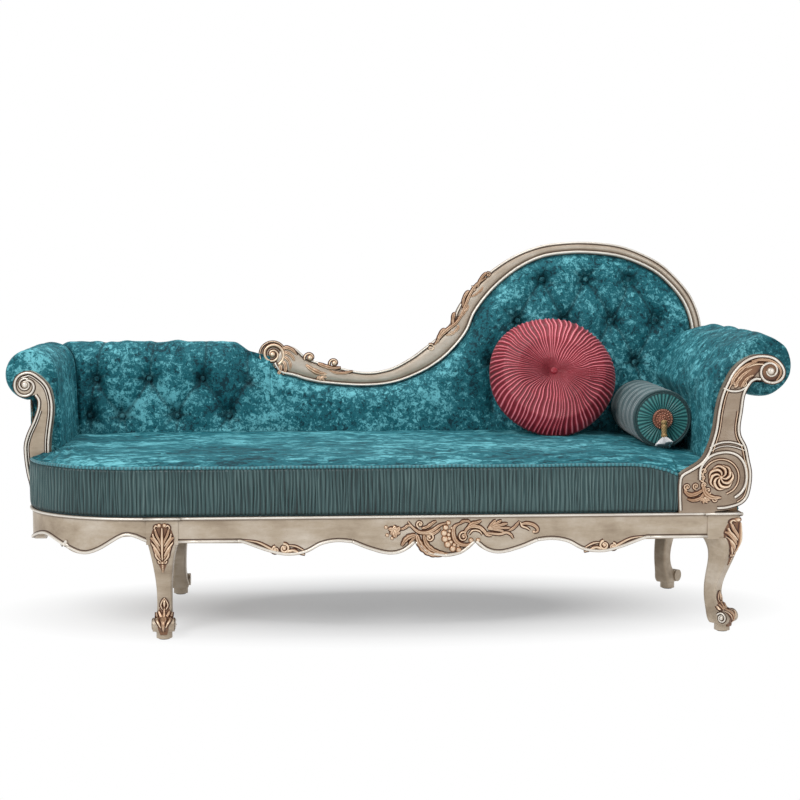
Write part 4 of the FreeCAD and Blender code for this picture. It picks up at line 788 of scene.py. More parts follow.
def seat_rings():
    x = np.r_[RAIL_END - 0.2 + (1 - np.cos(np.linspace(0, pi / 2, 46))) * 96,
        np.arange(RAIL_END + 98, BAND_STOP + 6, 5.0), np.arange(BAND_STOP + 8, SEAT_RIGHT + 1, 6.0)]
    front = front_line(x, 0.0)
    front = np.where(x > BAND_STOP - 1, 24.0, front)
    over_arm = x < RAIL_END + 65 + 4
    back = np.where(over_arm, 200.0, SEAT_BACK_Y)
    back = np.where(~over_arm & (x < RAIL_END + 98),
        SEAT_BACK_Y - 33 + np.sqrt(np.clip(33 ** 2 - (RAIL_END + 98 - x) ** 2, 0, None)), back)
    edge = piping_height(x)
    share = np.r_[0, 0.004, 0.012, 0.03, 0.055, np.linspace(0.085, 1, 88)]
    y = front[:, None] + (back - front)[:, None] * share[None, :]
    wide = x[:, None] * np.ones_like(y)
    inside = np.maximum(y - front[:, None], 0)
    ends = np.interp(x, [RAIL_END - 8, RAIL_END + 30, RAIL_END + 95, RAIL_END + 500, 457, 600, 700,
        SEAT_RIGHT + 30], [PIPING_Z + 6, 452, 460, 463, 463, 458, 447, 432])
    rise = np.maximum(ends - edge, 4)[:, None]
    dome = 1 - np.exp(-inside / 30.0)
    dome = 0.80 * dome + 0.20 * ease(inside / 190)
    z = edge[:, None] + 3.2 + (rise - 1.7) * dome - 3.0 * ease((inside - 380) / 200)
    z += pull_folds(y * 1.5, wide, 31, 60, 1.5) * ease(inside / 60)
    z += pull_folds(wide, y, 32, 120, 0.8) * ease(inside / 60) * ease((y + 60) / 260)
    corner = bell(wide + 905, 120) * bell(y - 150, 130)
    ray = np.arctan2(y - 260, wide + 860)
    z += 2.6 * corner * np.sin(ray * 26) * ease(inside / 14)
    wrinkle = np.sin((y - 330 - 0.05 * (wide + 700)) / 9.5) * bell(y - 380, 90) * bell(wide + 760, 210)
    z += 1.6 * wrinkle
    # Painted shade: the velvet darkens in the corner's gathers, on the wrinkle, and where the seat meets the
    # back and the right-hand end.
    fold_shade = np.clip(0.5 * corner * np.sin(ray * 26 + 1.4), 0, 1) + 0.25 * np.clip(wrinkle, 0, 1)
    meeting_shade = np.maximum(bell(back[:, None] - y, 9) * 0.8, bell(SEAT_RIGHT - wide, 8) * 0.7)
    fold_shade = np.maximum(fold_shade, meeting_shade)
    skin = stack(wide, y, z)
    low = np.full_like(x, 426.0)
    under = [stack(x, back, low - 24), stack(x, front + 10, low - 24),
        stack(x, front + 1.5, np.minimum(edge - 3, low))]
    rings = np.concatenate([skin, np.stack(under, axis=1)], axis=1)
    return rings, np.concatenate([fold_shade, np.zeros((len(x), 3))], axis=1)


rings, fold_shades = seat_rings()
seat = skin_piece("seat_padding", rings, seat_velvet, "teal_velvet", attributes={"fold_shade": fold_shades},
    replaces=["seat_cover", "seat_foam"])
padded(seat)

# %% [markdown]
# ## The gathered band
#
# A strip of satin about one and a half times too long is sewn between the piping and the welt, so
# it gathers into upright folds. The folds differ in width and lean a little, and they open and
# close on their way up. Folds of uneven width come from a running sum of random widths.

# %% Band, piping and welt
WELT_Z, WELT_R, BAND_LOW = 315.0, 3.0, 318.0


def edge_path(outset, step=1.3, last=BAND_STOP):
    """The seat's front edge in plan, from the left arm's post round the corner, with outward ways."""
    middle = RAIL_END + CORNER_REACH
    reach, depth = CORNER_REACH + outset, CORNER_DEPTH + outset
    first = np.arcsin(np.clip((CORNER_DEPTH - 201) / depth, 0, 1))
    angle = np.linspace(first, pi / 2, 4000)
    curve = stack(middle - reach * np.cos(angle), CORNER_DEPTH - depth * np.sin(angle), 0)
    line = np.vstack([curve, stack(np.linspace(middle + 1, last, 3000), -outset, 0)])
    path, run = evenly(line[:, :2], step=step)
    return path, rightward(heading(path)), run


def gathers(run, height, seed, widths=(5.5, 13.0)):
    """Height of uneven folds at places along a strip; height goes from 0 to 1 across it."""
    rng = np.random.default_rng(seed)
    count = int(run.max() / widths[0]) + 4
    starts = np.cumsum(rng.uniform(*widths, count))
    total = np.zeros((len(run), len(height)))
    for level, weight in ((0, 1.0), (1, 0.45)):
        lean = np.interp(run, starts, rng.uniform(-3.5, 3.5, count))
        drift = np.interp(run, starts, rng.uniform(0, tau, count))
        at = run[:, None] + lean[:, None] * (height[None, :] - 0.5) \
            + 1.2 * np.sin(height[None, :] * 5 + drift[:, None])
        phase = np.interp(at, starts, np.arange(count) * (1 + level * 0.62))
        total += weight * (0.5 + 0.5 * np.cos(phase * tau)) ** 0.8
    return total / 1.45


path, outward_way, run = edge_path(BAND_OUT)
height = np.linspace(0, 1, 17)
fold_height = gathers(run, height, 7)
top = piping_height(path[:, 0]) - 3.0
level = BAND_LOW - 1 + (top - BAND_LOW + 1)[:, None] * height[None, :]
full = np.sqrt(np.clip(1 - (2 * height - 1) ** 4, 0, 1))[None, :]
proud = (fold_height - 0.45) * (2.2 + 1.6 * full) + 1.5 * full - 1.5
skin = stack(path[:, :1] + outward_way[:, :1] * proud, path[:, 1:] + outward_way[:, 1:] * proud, level)
behind = 7.0
inner = [stack(path[:, 0] - outward_way[:, 0] * behind, path[:, 1] - outward_way[:, 1] * behind, top),
    stack(path[:, 0] - outward_way[:, 0] * behind, path[:, 1] - outward_way[:, 1] * behind, BAND_LOW)]
points, faces = loft(np.concatenate([skin, np.stack(inner, axis=1)], axis=1))
# The band's ridge number is painted light: highlight on the folds, shade between them, darker towards the
# piping and the welt.
ridge = np.concatenate([fold_height * (0.55 + 0.45 * full), np.zeros((len(run), 2))], axis=1)
band = make("seat_band", place(points), faces, band_satin, "band_satin", attributes={"ridge": ridge},
    replaces=["seat_border"])
padded(band)


def tube(path, radius, around=10):
    """Rings of a round skin along a path of points."""
    way = heading(path)
    side = np.cross(way, (0.0, 0.0, 1.0))
    flat = np.linalg.norm(side, axis=1) < 0.2
    side[flat] = np.cross(way[flat], (0.0, 1.0, 0.0))
    side /= np.linalg.norm(side, axis=1)[:, None]
    up = np.cross(side, way)
    angle = np.linspace(0, tau, around, endpoint=False)
    radius = np.broadcast_to(radius, len(path))[:, None, None]
    return path[:, None, :] + radius * (np.cos(angle)[None, :, None] * side[:, None, :]
        + np.sin(angle)[None, :, None] * up[:, None, :])


# The ridge numbers of the piping and the welt paint light on each turn of the cord and shade between.
path, outward_way, run = edge_path(BAND_OUT - PIPING_R, step=3.0)
sag = 1.3 * np.sin(run / 57) + 0.8 * np.sin(run / 23 + 1)
line = stack(path[:, 0], path[:, 1], piping_height(path[:, 0]) + 0.5 * sag)
points, faces = loft(tube(line, PIPING_R + 0.25 * np.sin(run / 3.1)))
piping = make("seat_piping", place(points), faces, teal_piping, "teal_piping",
    attributes={"ridge": np.repeat(0.5 + 0.5 * np.sin(run / 1.6), 10)}, replaces=["seat_top_piping"])
padded(piping)
path, outward_way, run = edge_path(-WELT_R, step=4.0, last=BAND_STOP - 2)
points, faces = loft(tube(stack(path[:, 0], path[:, 1], WELT_Z), WELT_R))
welt = make("seat_welt", place(points), faces, dark_welt, "teal_piping",
    attributes={"ridge": np.repeat(0.5 + 0.5 * np.sin(run / 2.0), 10)}, replaces=["seat_bottom_piping"])
padded(welt)

# %% [markdown]
# ## The right arm
#
# The right arm is a bigger roll that swells inwards towards the back, where it meets the high
# back. Two sections, one at the front and one at the rear, are mixed along its length. The cover
# is pulled over the top and round, so its folds run round the roll.

# %% Right arm pad
ARM_RIGHT_END, ARM_OUT, ARM_Z, ARM_R = 857.0, 58.0, 682.0, 78.0
RIGHT_ARM_FRONT, RIGHT_ARM_BACK = 29.0, 618.0


def right_arm_rings():
    cx = ARM_RIGHT_END + ARM_OUT
    shift = (0, 0, 24, 26, 29, 25, 0)
    inner = [(788, 430), (788, 560), (786, 615), (800, 660), (830, 704), (868, 743), (cx, ARM_Z + ARM_R)]
    y = np.r_[np.linspace(0, 1, 12) ** 1.6 * 22, np.arange(27, RIGHT_ARM_BACK - RIGHT_ARM_FRONT - 20, 5.5),
        RIGHT_ARM_BACK - RIGHT_ARM_FRONT - 20 * np.linspace(1, 0, 8) ** 1.6] + RIGHT_ARM_FRONT
    rings, fold_shades = [], []
    for depth in y:
        swell = (depth - RIGHT_ARM_FRONT) / (RIGHT_ARM_BACK - RIGHT_ARM_FRONT)
        run = smooth([(x - swell * s, z) for (x, z), s in zip(inner, shift)], 4.0)
        turn = np.linspace(pi / 2, -radians(135), 50)[1:]
        roll = np.stack([cx + ARM_R * np.cos(turn), ARM_Z + ARM_R * np.sin(turn)], axis=1)
        line = np.vstack([[(788, FOOT_HEIGHT), (788, 380)], run, roll])
        section, even = evenly(line, 112)
        normal = -rightward(heading(section))
        edge_front = 1 - ease((depth - RIGHT_ARM_FRONT) / 18)
        level = np.full_like(even, depth)
        stand = pull_folds(level, even, 41, 70, 2.2) + pull_folds(even, level, 42, 90, 1.6)
        stand = stand * ease((even - 90) / 80) * (1 - edge_front) - 5.0 * edge_front ** 2
        rear = ease((depth - (RIGHT_ARM_BACK - 26)) / 26)
        stand -= 8 * rear ** 2
        section = section + normal * np.clip(stand, -9, 6)[:, None]
        closing = [(ARM_RIGHT_END - 3, ARM_Z - ARM_R + 6), (ARM_RIGHT_END - 3, FOOT_HEIGHT)]
        section = np.vstack([section, closing])
        rings.append(stack(section[:, 0], depth, section[:, 1]))
        # Painted shade in the sunken folds of the cover.
        fold_shade = np.clip(-stand / 9.0, 0, 0.6) * 0.4
        fold_shades.append(np.r_[fold_shade, 0, 0])
    return np.array(rings), np.array(fold_shades)


rings, fold_shades = right_arm_rings()
right_arm = skin_piece("right_arm_padding", rings, velvet, "teal_velvet",
    attributes={"fold_shade": fold_shades}, replaces=["right_arm_pad"])
padded(right_arm)

# %% [markdown]
# ## Covered buttons, set by Geometry Nodes
#
# The covered buttons are one small dome, put at every pit and turned to face out of the padding.
# A node tree does that once for any number of places: it reads where they are from a mesh of
# loose points, and which way each faces from the attribute `facing`. The same tree sets the beads
# of the rosettes later, because only its sizes differ.

# %% Domes on points
def tree_input(tree, name, kind, value):
    socket = tree.interface.new_socket(name, in_out="INPUT", socket_type=kind)
    if value is not None:
        socket.default_value = value
    return socket.identifier


def dome_tree():
    """Points in, domes of a given width and depth out, each facing its own way."""
    tree = bpy.data.node_groups.new("domes_on_points", "GeometryNodeTree")
    keys = {"geometry": tree_input(tree, "Points", "NodeSocketGeometry", None),
        "width": tree_input(tree, "Width", "NodeSocketFloat", 0.018),
        "depth": tree_input(tree, "Depth", "NodeSocketFloat", 0.006),
        "uneven": tree_input(tree, "Uneven", "NodeSocketFloat", 0.06),
        "segments": tree_input(tree, "Segments", "NodeSocketInt", 16),
        "material": tree_input(tree, "Finish", "NodeSocketMaterial", None)}
    tree.interface.new_socket("Domes", in_out="OUTPUT", socket_type="NodeSocketGeometry")

    def add(kind, settings=None, **values):
        node = tree.nodes.new(kind)
        for key, value in (settings or {}).items():
            setattr(node, key, value)
        for key, value in values.items():
            node.inputs[key].default_value = value
        return node

    start, end = add("NodeGroupInput"), add("NodeGroupOutput")
    ball = add("GeometryNodeMeshUVSphere", Radius=0.5, Rings=9)
    smooth_ball = add("GeometryNodeSetShadeSmooth")
    facing = add("GeometryNodeInputNamedAttribute", {"data_type": "FLOAT_VECTOR"}, Name="facing")
    turn = add("FunctionNodeAlignRotationToVector", {"axis": "Z"})
    size = add("ShaderNodeCombineXYZ")
    chance = add("FunctionNodeRandomValue", {"data_type": "FLOAT"}, Seed=4)
    smallest = add("ShaderNodeMath", {"operation": "SUBTRACT"})
    smallest.inputs[0].default_value = 1.0
    scale = add("ShaderNodeVectorMath", {"operation": "SCALE"})
    put, real = add("GeometryNodeInstanceOnPoints"), add("GeometryNodeRealizeInstances")
    finish = add("GeometryNodeSetMaterial")
    chance_low, chance_high = (next(s for s in chance.inputs if s.name == name and s.type == "VALUE")
        for name in ("Min", "Max"))
    chance_high.default_value = 1.0
    tree.links.new(smallest.outputs[0], chance_low)
    tree.links.new(next(s for s in chance.outputs if s.type == "VALUE"), scale.inputs["Scale"])
    for source, out, target, into in (
            (start, "Segments", ball, "Segments"), (ball, "Mesh", smooth_ball, "Geometry"),
            (start, "Points", put, "Points"), (smooth_ball, "Geometry", put, "Instance"),
            (facing, "Attribute", turn, "Vector"), (turn, "Rotation", put, "Rotation"),
            (start, "Width", size, "X"), (start, "Width", size, "Y"), (start, "Depth", size, "Z"),
            (start, "Uneven", smallest, 1), (size, 0, scale, 0), (scale, 0, put, "Scale"),
            (put, "Instances", real, "Geometry"), (real, "Geometry", finish, "Geometry"),
            (start, "Finish", finish, "Material"), (finish, "Geometry", end, "Domes")):
        tree.links.new(source.outputs[out], target.inputs[into])
    return tree, keys


DOME_TREE, DOME_KEYS = dome_tree()


def points_object(name, points, facing):
    mesh = bpy.data.meshes.new(name)
    mesh.from_pydata(np.asarray(points).tolist(), [], [])
    layer = mesh.attributes.new("facing", "FLOAT_VECTOR", "POINT")
    layer.data.foreach_set("vector", np.asarray(facing, np.float32).ravel())
    return add_object(name, mesh)


def grown(name, seed_object, inputs, material, body="root", replaces=(), numbers=None):
    """Run the dome tree on an object and keep its result as a plain mesh piece."""
    modifier = seed_object.modifiers.new("grow", "NODES")
    modifier.node_group = DOME_TREE
    for key, value in inputs.items():
        modifier[DOME_KEYS[key]] = value
    modifier[DOME_KEYS["material"]] = material
    bpy.context.view_layer.update()
    evaluated = seed_object.evaluated_get(bpy.context.evaluated_depsgraph_get())
    mesh = bpy.data.meshes.new_from_object(evaluated)
    mesh.name = name
    seed_object.modifiers.remove(modifier)
    bpy.data.objects.remove(seed_object)
    for key, value in (numbers or {}).items():
        number_layer(mesh, key, np.full(len(mesh.vertices), value))
    print(f"{name}: {len(mesh.polygons)} faces from a node tree")
    return settle(name, mesh, body, replaces)


BUTTON_SINK = 17.0
# The covered buttons are darkened with painted shade, as if lying deep in their pits.
BUTTON_SIZE, BUTTON_SHADE = {"width": 0.015, "depth": 0.006}, {"fold_shade": 0.55}
low_button_places = [(-461, 506), (-607, 506), (-761, 506), (-852, 508), (-403, 612), (-534, 612),
    (-684, 612), (-831, 612)]
low_points = place([(x, ROLL_Y - FACE_DEPTH + BUTTON_SINK, z) for x, z in low_button_places])
low_facing = [(0, -1, 0)] * 3 + [(0.5, -0.86, 0)] + [(0, -1, 0)] * 4
high_points = raked([(x, crown_depth(x, h) + BUTTON_SINK, h) for x, h in high_buttons])
high_facing = [(0, -cos(RAKE), sin(RAKE))] * len(high_buttons)
for which, points, facing in (("low_back", low_points, low_facing), ("high_back", high_points, high_facing)):
    grown(f"{which}_covered_buttons", points_object(f"{which}_points", points, facing), BUTTON_SIZE,
        velvet, replaces=[f"{which}_buttons"], numbers=BUTTON_SHADE)

# %% [markdown]
# ## The round cushion
#
# A sunburst cushion: a long strip of crimson satin is gathered at its middle and stretched to a
# seam round the edge, so uneven pleats run out from the centre of each face. It is drawn about
# its own axis and then leaned against the back, in the place where the frame's solid stands.

# %% Round cushion
cushion_low, cushion_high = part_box("round_cushion")
CUSHION_R, CUSHION_LEAN = 178.0, radians(27.0)
CUSHION_SHARES, CUSHION_HALVES = [0, 0.06, 0.22, 0.55, 0.80, 0.93, 1.0], [38, 42, 53, 58, 46, 26, 6]
cushion_centre = (np.array(cushion_low) + np.array(cushion_high)) / 2


def lean_cushion(points):
    """Points about the cushion's axis (Y), in millimetres, to their place in the scene."""
    p = np.asarray(points, float) * MM
    y = p[..., 1] * cos(CUSHION_LEAN) + p[..., 2] * sin(CUSHION_LEAN)
    z = -p[..., 1] * sin(CUSHION_LEAN) + p[..., 2] * cos(CUSHION_LEAN)
    return np.stack([p[..., 0], y, z], axis=-1) + cushion_centre


def pleat_starts(count, seed):
    """Angles at which pleats of uneven width start, all the way round."""
    starts = np.cumsum(np.random.default_rng(seed).uniform(0.6, 1.5, count))
    return np.r_[0, starts] / starts[-1] * tau


def sunburst(share, angle, seed):
    """Height of pleats that run out from the middle: 0 in a fold, 1 on a ridge."""
    starts = pleat_starts(79, seed)
    bend = 0.26 * np.sin(angle * 2 + 0.7) * (1 - share) + 0.035 * np.sin(share * 6 + angle * 3)
    at = np.mod(angle + bend + 0.010 * np.sin(share * 17 + angle * 5), tau)
    phase = np.interp(at, starts, np.arange(80))
    fine = np.interp(at, starts, np.arange(80) * 2.0)
    return (0.72 * (0.5 + 0.5 * np.cos(phase * tau)) ** 0.85 + 0.28 * (0.5 + 0.5 * np.cos(fine * tau)))


def cushion_rings(around=640):
    angle = np.linspace(0, tau, around, endpoint=False)[None, :]
    share = np.r_[0.035, 0.06, 0.09, np.linspace(0.12, 0.93, 34), 0.955, 0.975, 0.99]
    rim = 1 + 0.010 * np.sin(3 * angle + 0.6) + 0.006 * np.sin(5 * angle + 2.0)
    rings, pleat_shading = [], []
    for face_way, seed, shares in ((-1, 3, share), (1, 9, share[::-1])):
        s = shares[:, None]
        ridge = sunburst(s, angle, seed)
        half = np.interp(shares, CUSHION_SHARES, CUSHION_HALVES)[:, None]
        half = half + 1.6 * np.sin(angle * 2 + 1) * ease(s) * (1 - s)
        depth = 5.2 * ease(s / 0.25) * (0.55 + 0.45 * s)
        lift = half - depth * (1 - ridge) + 0.8
        radius = CUSHION_R * s * rim - 1.8 * (1 - ridge) * ease((s - 0.7) / 0.3)
        rings.append(stack(radius * np.cos(angle), face_way * lift, radius * np.sin(angle)))
        # Painted light: each pleat's ridge is lightened and its fold shaded, more darkly towards the middle.
        pleat_shading.append(ridge ** 1.5 * (0.45 + 0.55 * ease(s / 0.3)))
        if face_way < 0:
            seam = CUSHION_R * rim * 0.999
            rings.append(stack(seam * np.cos(angle), 0.0, seam * np.sin(angle)))
            # The seam ring gets a painted shade.
            pleat_shading.append(0.25 * np.ones_like(angle))
    return np.concatenate(rings), np.concatenate(pleat_shading)


rings, pleat_shading = cushion_rings()
round_cushion = skin_piece("crimson_cushion", rings, crimson, "crimson_satin",
    "round_cushion", {"ridge": pleat_shading}, ["round_cushion"], put=lean_cushion)
padded(round_cushion)
tufts = lean_cushion([(0, -43, 0), (0, 43, 0)])
# The cushion's buttons get a fixed, painted shade of the satin.
grown("cushion_covered_buttons", points_object("cushion_points", tufts,
    [(0, -cos(CUSHION_LEAN), sin(CUSHION_LEAN)), (0, cos(CUSHION_LEAN), -sin(CUSHION_LEAN))]),
    {"width": 0.020, "depth": 0.008}, crimson, "round_cushion",
    ["round_cushion_buttons"], {"ridge": 0.35})

# %% [markdown]
# ## The bolster and its tassel
#
# The bolster's side is a grey-teal cloth with pairs of pale woven stripes. Each end is a disc of
# satin pleated to the middle, with a corded edge, and a copper rosette covers the gathers. From
# the front rosette hangs the tassel: a bound neck and a short silver skirt.

# %% Bolster
bolster_low, bolster_high = (drawn(corner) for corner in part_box("bolster"))
END_SWELL, BOLSTER_R = 4.0, 78.0
BOLSTER_X, _, BOLSTER_Z = (bolster_low + bolster_high) / 2
BOLSTER_FRONT, BOLSTER_REAR = bolster_low[1] + END_SWELL, bolster_high[1] - END_SWELL


def striped_cloth(name, ground, pale, start, spacing):
    net = Net(name)
    across = net.node("SeparateXYZ", output=1, vector=net.places)
    weave = net.noise(500.0, detail=2.0)
    cloud = net.noise(14.0, detail=3.0)
    at = net.node("Math", {"operation": "FRACT"}, value=(across - start) * (1 / spacing) + weave * 0.015)
    line = net.ramp(at, [(0.0, (0, 0, 0)), (0.34, (0, 0, 0)), (0.37, (1, 1, 1)), (0.42, (1, 1, 1)),
        (0.45, (0, 0, 0)), (0.60, (0, 0, 0)), (0.63, (1, 1, 1)), (0.68, (1, 1, 1)), (0.71, (0, 0, 0))])
    tone = net.ramp(cloud, [(0.3, ground[0]), (0.7, ground[1])])
    colour = net.mix(line, tone, pale)
    net.bump(weave, 0.0005, 0.5)
    return net.set(base_color=colour, roughness=0.62, sheen_weight=0.25, sheen_roughness=0.4)


bolster_cloth = striped_cloth("bolster_cloth", ((0.018, 0.062, 0.068), (0.040, 0.100, 0.108)),
    (0.36, 0.42, 0.42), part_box("bolster")[0].y, 0.056)

y = np.r_[BOLSTER_FRONT + 1, BOLSTER_FRONT + 5, np.arange(BOLSTER_FRONT + 10, BOLSTER_REAR - 9, 5.0),
    BOLSTER_REAR - 5, BOLSTER_REAR - 1]
angle = np.linspace(0, tau, 120, endpoint=False)[None, :]
fill = np.minimum(y - BOLSTER_FRONT, BOLSTER_REAR - y)[:, None]
radius = BOLSTER_R - 1.5 + 1.5 * ease(fill / 12) + 0.35 * np.sin(angle * 9 + y[:, None] / 13) \
    * ease(fill / 20)
rings = stack(BOLSTER_X + radius * np.cos(angle), y[:, None], BOLSTER_Z + radius * np.sin(angle))
bolster = skin_piece("bolster_side", rings, bolster_cloth, "bolster_cloth", "bolster",
    replaces=["bolster"])
padded(bolster)


def bolster_end_rings(end, way, seed):
    """A pleated disc: rings from the corded edge to the rosette, pleats deeper outside."""
    angle = np.linspace(0, tau, 360, endpoint=False)[None, :]
    phase = np.interp(np.mod(angle, tau), pleat_starts(41, seed), np.arange(42))
    share = np.array([1.0, 0.96, 0.9, 0.8, 0.7, 0.6, 0.5, 0.42, 0.34, 0.28])[:, None]
    ridge = (0.5 + 0.5 * np.cos(phase * tau)) ** 0.8 * np.ones_like(share)
    radius = (BOLSTER_R - 6.5) * share
    pleat = 2.4 * (1 - ridge) * np.sin(pi * np.clip(share, 0, 0.97))
    out = 4.0 * np.sin(pi * (0.15 + 0.75 * (1 - share))) - pleat
    front = stack(BOLSTER_X + radius * np.cos(angle), end + way * out, BOLSTER_Z + radius * np.sin(angle))
    back = front[::-1].copy()
    back[..., 1] = end - way * 4.0
    # The returned ridge number is painted light: highlight on the pleats, shade in them, darker towards the
    # middle.
    return np.concatenate([back, front]), np.concatenate([ridge[::-1] * 0, ridge * (0.4 + 0.6 * share)])


parts = []
for end, way, seed in ((BOLSTER_FRONT, -1, 4), (BOLSTER_REAR, 1, 6)):
    rings, ridge = bolster_end_rings(end, way, seed)
    points, faces = loft(rings, closed=True)
    parts.append((points, faces, ridge.ravel()))
points, faces, ridge = gather(parts)
padded(make("bolster_ends", place(points), faces, bolster_end, "bolster_cloth", "bolster",
    {"ridge": ridge}))

parts = []
for end, way in ((BOLSTER_FRONT, -1), (BOLSTER_REAR, 1)):
    for radius, out, thick in ((BOLSTER_R - 3.5, 0.0, 3.5), (BOLSTER_R - 8.5, 2.2, 2.0)):
        ring_angle = np.linspace(0, tau, 260, endpoint=False)
        turn = np.linspace(0, tau, 10, endpoint=False)[None, :]
        twist = turn + ring_angle[:, None] * 60
        wide = thick * (1 + 0.10 * np.cos(2 * twist))
        r = radius + wide * np.cos(turn)
        rings = stack(BOLSTER_X + r * np.cos(ring_angle)[:, None], end + way * out + wide * np.sin(turn),
            BOLSTER_Z + r * np.sin(ring_angle)[:, None])
        points, faces = loft(rings, closed=True)
        # The ridge number paints light on each turn of the corded edge and shade between.
        parts.append((points, faces, (0.5 + 0.5 * np.cos(2 * twist)).ravel()))
points, faces, ridge = gather(parts)
bolster_cord = twisted_cord("bolster_cord", (0.002, 0.012, 0.014), (0.025, 0.085, 0.090))
padded(make("bolster_corded_edges", place(points), faces, bolster_cord, "bolster_cord", "bolster",
    {"ridge": ridge}, ["bolster_piping"]))

# %% [markdown]
# The rosette is a shallow copper dome ringed with beads, so it takes the same node tree as the
# buttons, with smaller sizes. The beads lie on two circles and a spiral heap fills the middle.

# %% Rosettes and tassel
def lathe(profile, around=48):
    """Rings about the Y axis from (radius, out) pairs."""
    turn = np.linspace(0, tau, around, endpoint=False)[None, :]
    r, out = np.array(profile, float).T
    return stack(r[:, None] * np.cos(turn), out[:, None], r[:, None] * np.sin(turn))


centres, ways, parts = [], [], []
for end, way in ((BOLSTER_FRONT, -1), (BOLSTER_REAR, 1)):
    base = end + way * 4.2
    dome = lathe([(27.5, 0), (28, 1.8), (26, 3.6), (21, 4.2), (19, 3.2), (16, 4.4), (9, 6.6), (3, 7.4),
        (0.5, 7.5)])
    dome[..., 1] = base + way * dome[..., 1]
    dome += (BOLSTER_X, 0, BOLSTER_Z)
    points, faces = loft(dome)
    level = np.interp(np.abs(dome[..., 1] - base), [0, 3, 4.2, 7.5], [0.1, 0.3, 0.45, 0.7])
    parts.append((points, faces, level.ravel()))
    for radius, count, out in ((24.5, 26, 4.6), (16.5, 15, 6.0)):
        for k in range(count):
            a = tau * k / count
            centres.append((BOLSTER_X + radius * cos(a), base + way * out, BOLSTER_Z + radius * sin(a)))
            ways.append((0, way, 0))
    for k in range(16):
        a, radius = k * 2.4, 2.9 * k ** 0.5
        centres.append((BOLSTER_X + radius * cos(a), base + way * (9.0 - 0.1 * radius),
            BOLSTER_Z + radius * sin(a)))
        ways.append((0, way, 0))
points, faces, level = gather(parts)
make("rosette_domes", place(points), faces, copper_bead, "copper_beads", "bolster", {"height": level},
    ["bolster_rosettes"])
grown("rosette_beads", points_object("rosette_points", place(centres), ways),
    {"width": 0.0056, "depth": 0.0056, "uneven": 0.25, "segments": 10}, copper_bead,
    "bolster", numbers={"height": 0.72})

KNOT = np.array([BOLSTER_X, BOLSTER_FRONT - 22.3, BOLSTER_Z - 6.0])
NECK_END = KNOT + (0, -6, -42)
SKIRT_END = NECK_END + (0, -12, -18)


def thread(name, dark, light, metal):
    net = Net(name)
    ridge = net.attribute("ridge")
    glint = net.noise(600.0, detail=2.0)
    # Painted light: the ridge number lightens the tops of the strands and shades the grooves, and the glint
    # noise paints small glints.
    colour = net.ramp(ridge * 0.65 + glint * 0.4, [(0.15, dark), (0.85, light)])
    net.bump(glint, 0.0005, 0.4)
    return net.set(base_color=colour, roughness=0.42, metallic=metal, sheen_weight=0.15)


gold_thread = thread("gold_thread", (0.10, 0.045, 0.012), (0.62, 0.40, 0.16), 0.35)
silver_thread = thread("silver_thread", (0.20, 0.20, 0.21), (0.88, 0.88, 0.88), 0.15)


def along_axis(start, end, profile, around=60, flutes=0, flute_depth=0.0, windings=0.0):
    """Rings along a line: profile gives (share, radius); flutes and windings roughen it."""
    start, end = np.array(start, float), np.array(end, float)
    way = (end - start) / np.linalg.norm(end - start)
    side = np.array([1.0, 0, 0])
    up = np.cross(way, side)
    share = np.linspace(0, 1, 40)
    radius = np.interp(share, *np.array(profile, float).T)[:, None]
    turn = np.linspace(0, tau, around, endpoint=False)[None, :]
    rough = 0.5 + 0.5 * np.cos(turn * flutes + share[:, None] * windings * tau)
    r = radius * (1 - flute_depth * (1 - rough))
    centre = start + (end - start) * share[:, None]
    spokes = np.cos(turn)[..., None] * side + np.sin(turn)[..., None] * up
    return centre[:, None, :] + r[..., None] * spokes, rough


rings, rough = along_axis(KNOT + (0, 0, 6), NECK_END,
    [(0, 2), (0.05, 8), (0.16, 9), (0.26, 6.4), (0.34, 8.6), (0.78, 7.0), (0.84, 9.0), (0.92, 8.4),
    (1, 5.5)], 54, 9, 0.14, 6)
skin_piece("tassel_bound_neck", rings, gold_thread, "gold_thread", "tassel", {"ridge": rough},
    ["tassel_neck"])
rings, rough = along_axis(NECK_END + (0, 1, 3), SKIRT_END,
    [(0, 5), (0.15, 8), (0.4, 13.5), (0.75, 18), (0.95, 19.5), (1, 17)], 180, 45, 0.20)
lobes = 1 + 0.42 * np.cos(np.linspace(0, tau, 180, endpoint=False) * 3 + pi)[None, :, None]
middle = rings.mean(axis=1, keepdims=True)
rings = middle + (rings - middle) * (1 + (lobes - 1) * np.linspace(0, 1, 40)[:, None, None])
skin_piece("tassel_silver_skirt", rings, silver_thread, "silver_thread", "tassel",
    {"ridge": rough}, ["tassel_skirt"])
print("loose pieces made")

# %% [markdown]
# ## Carved ornament
#
# Rococo carving is built from few strokes: a tendril that tapers and curls, a leaf with a raised
# middle and a lobed edge, a ball, and a spiral. Each stroke is a loft whose rings stand on the
# wood and rise in the middle, and `height` is written as it is made. A pattern is then a list of
# strokes on a flat sheet, and a last function puts the sheet on its face.

# %% Carving strokes
GLAZE_AND_SHADE_REACH, GLAZE_AND_SHADE_STAND = 2.2, 0.5


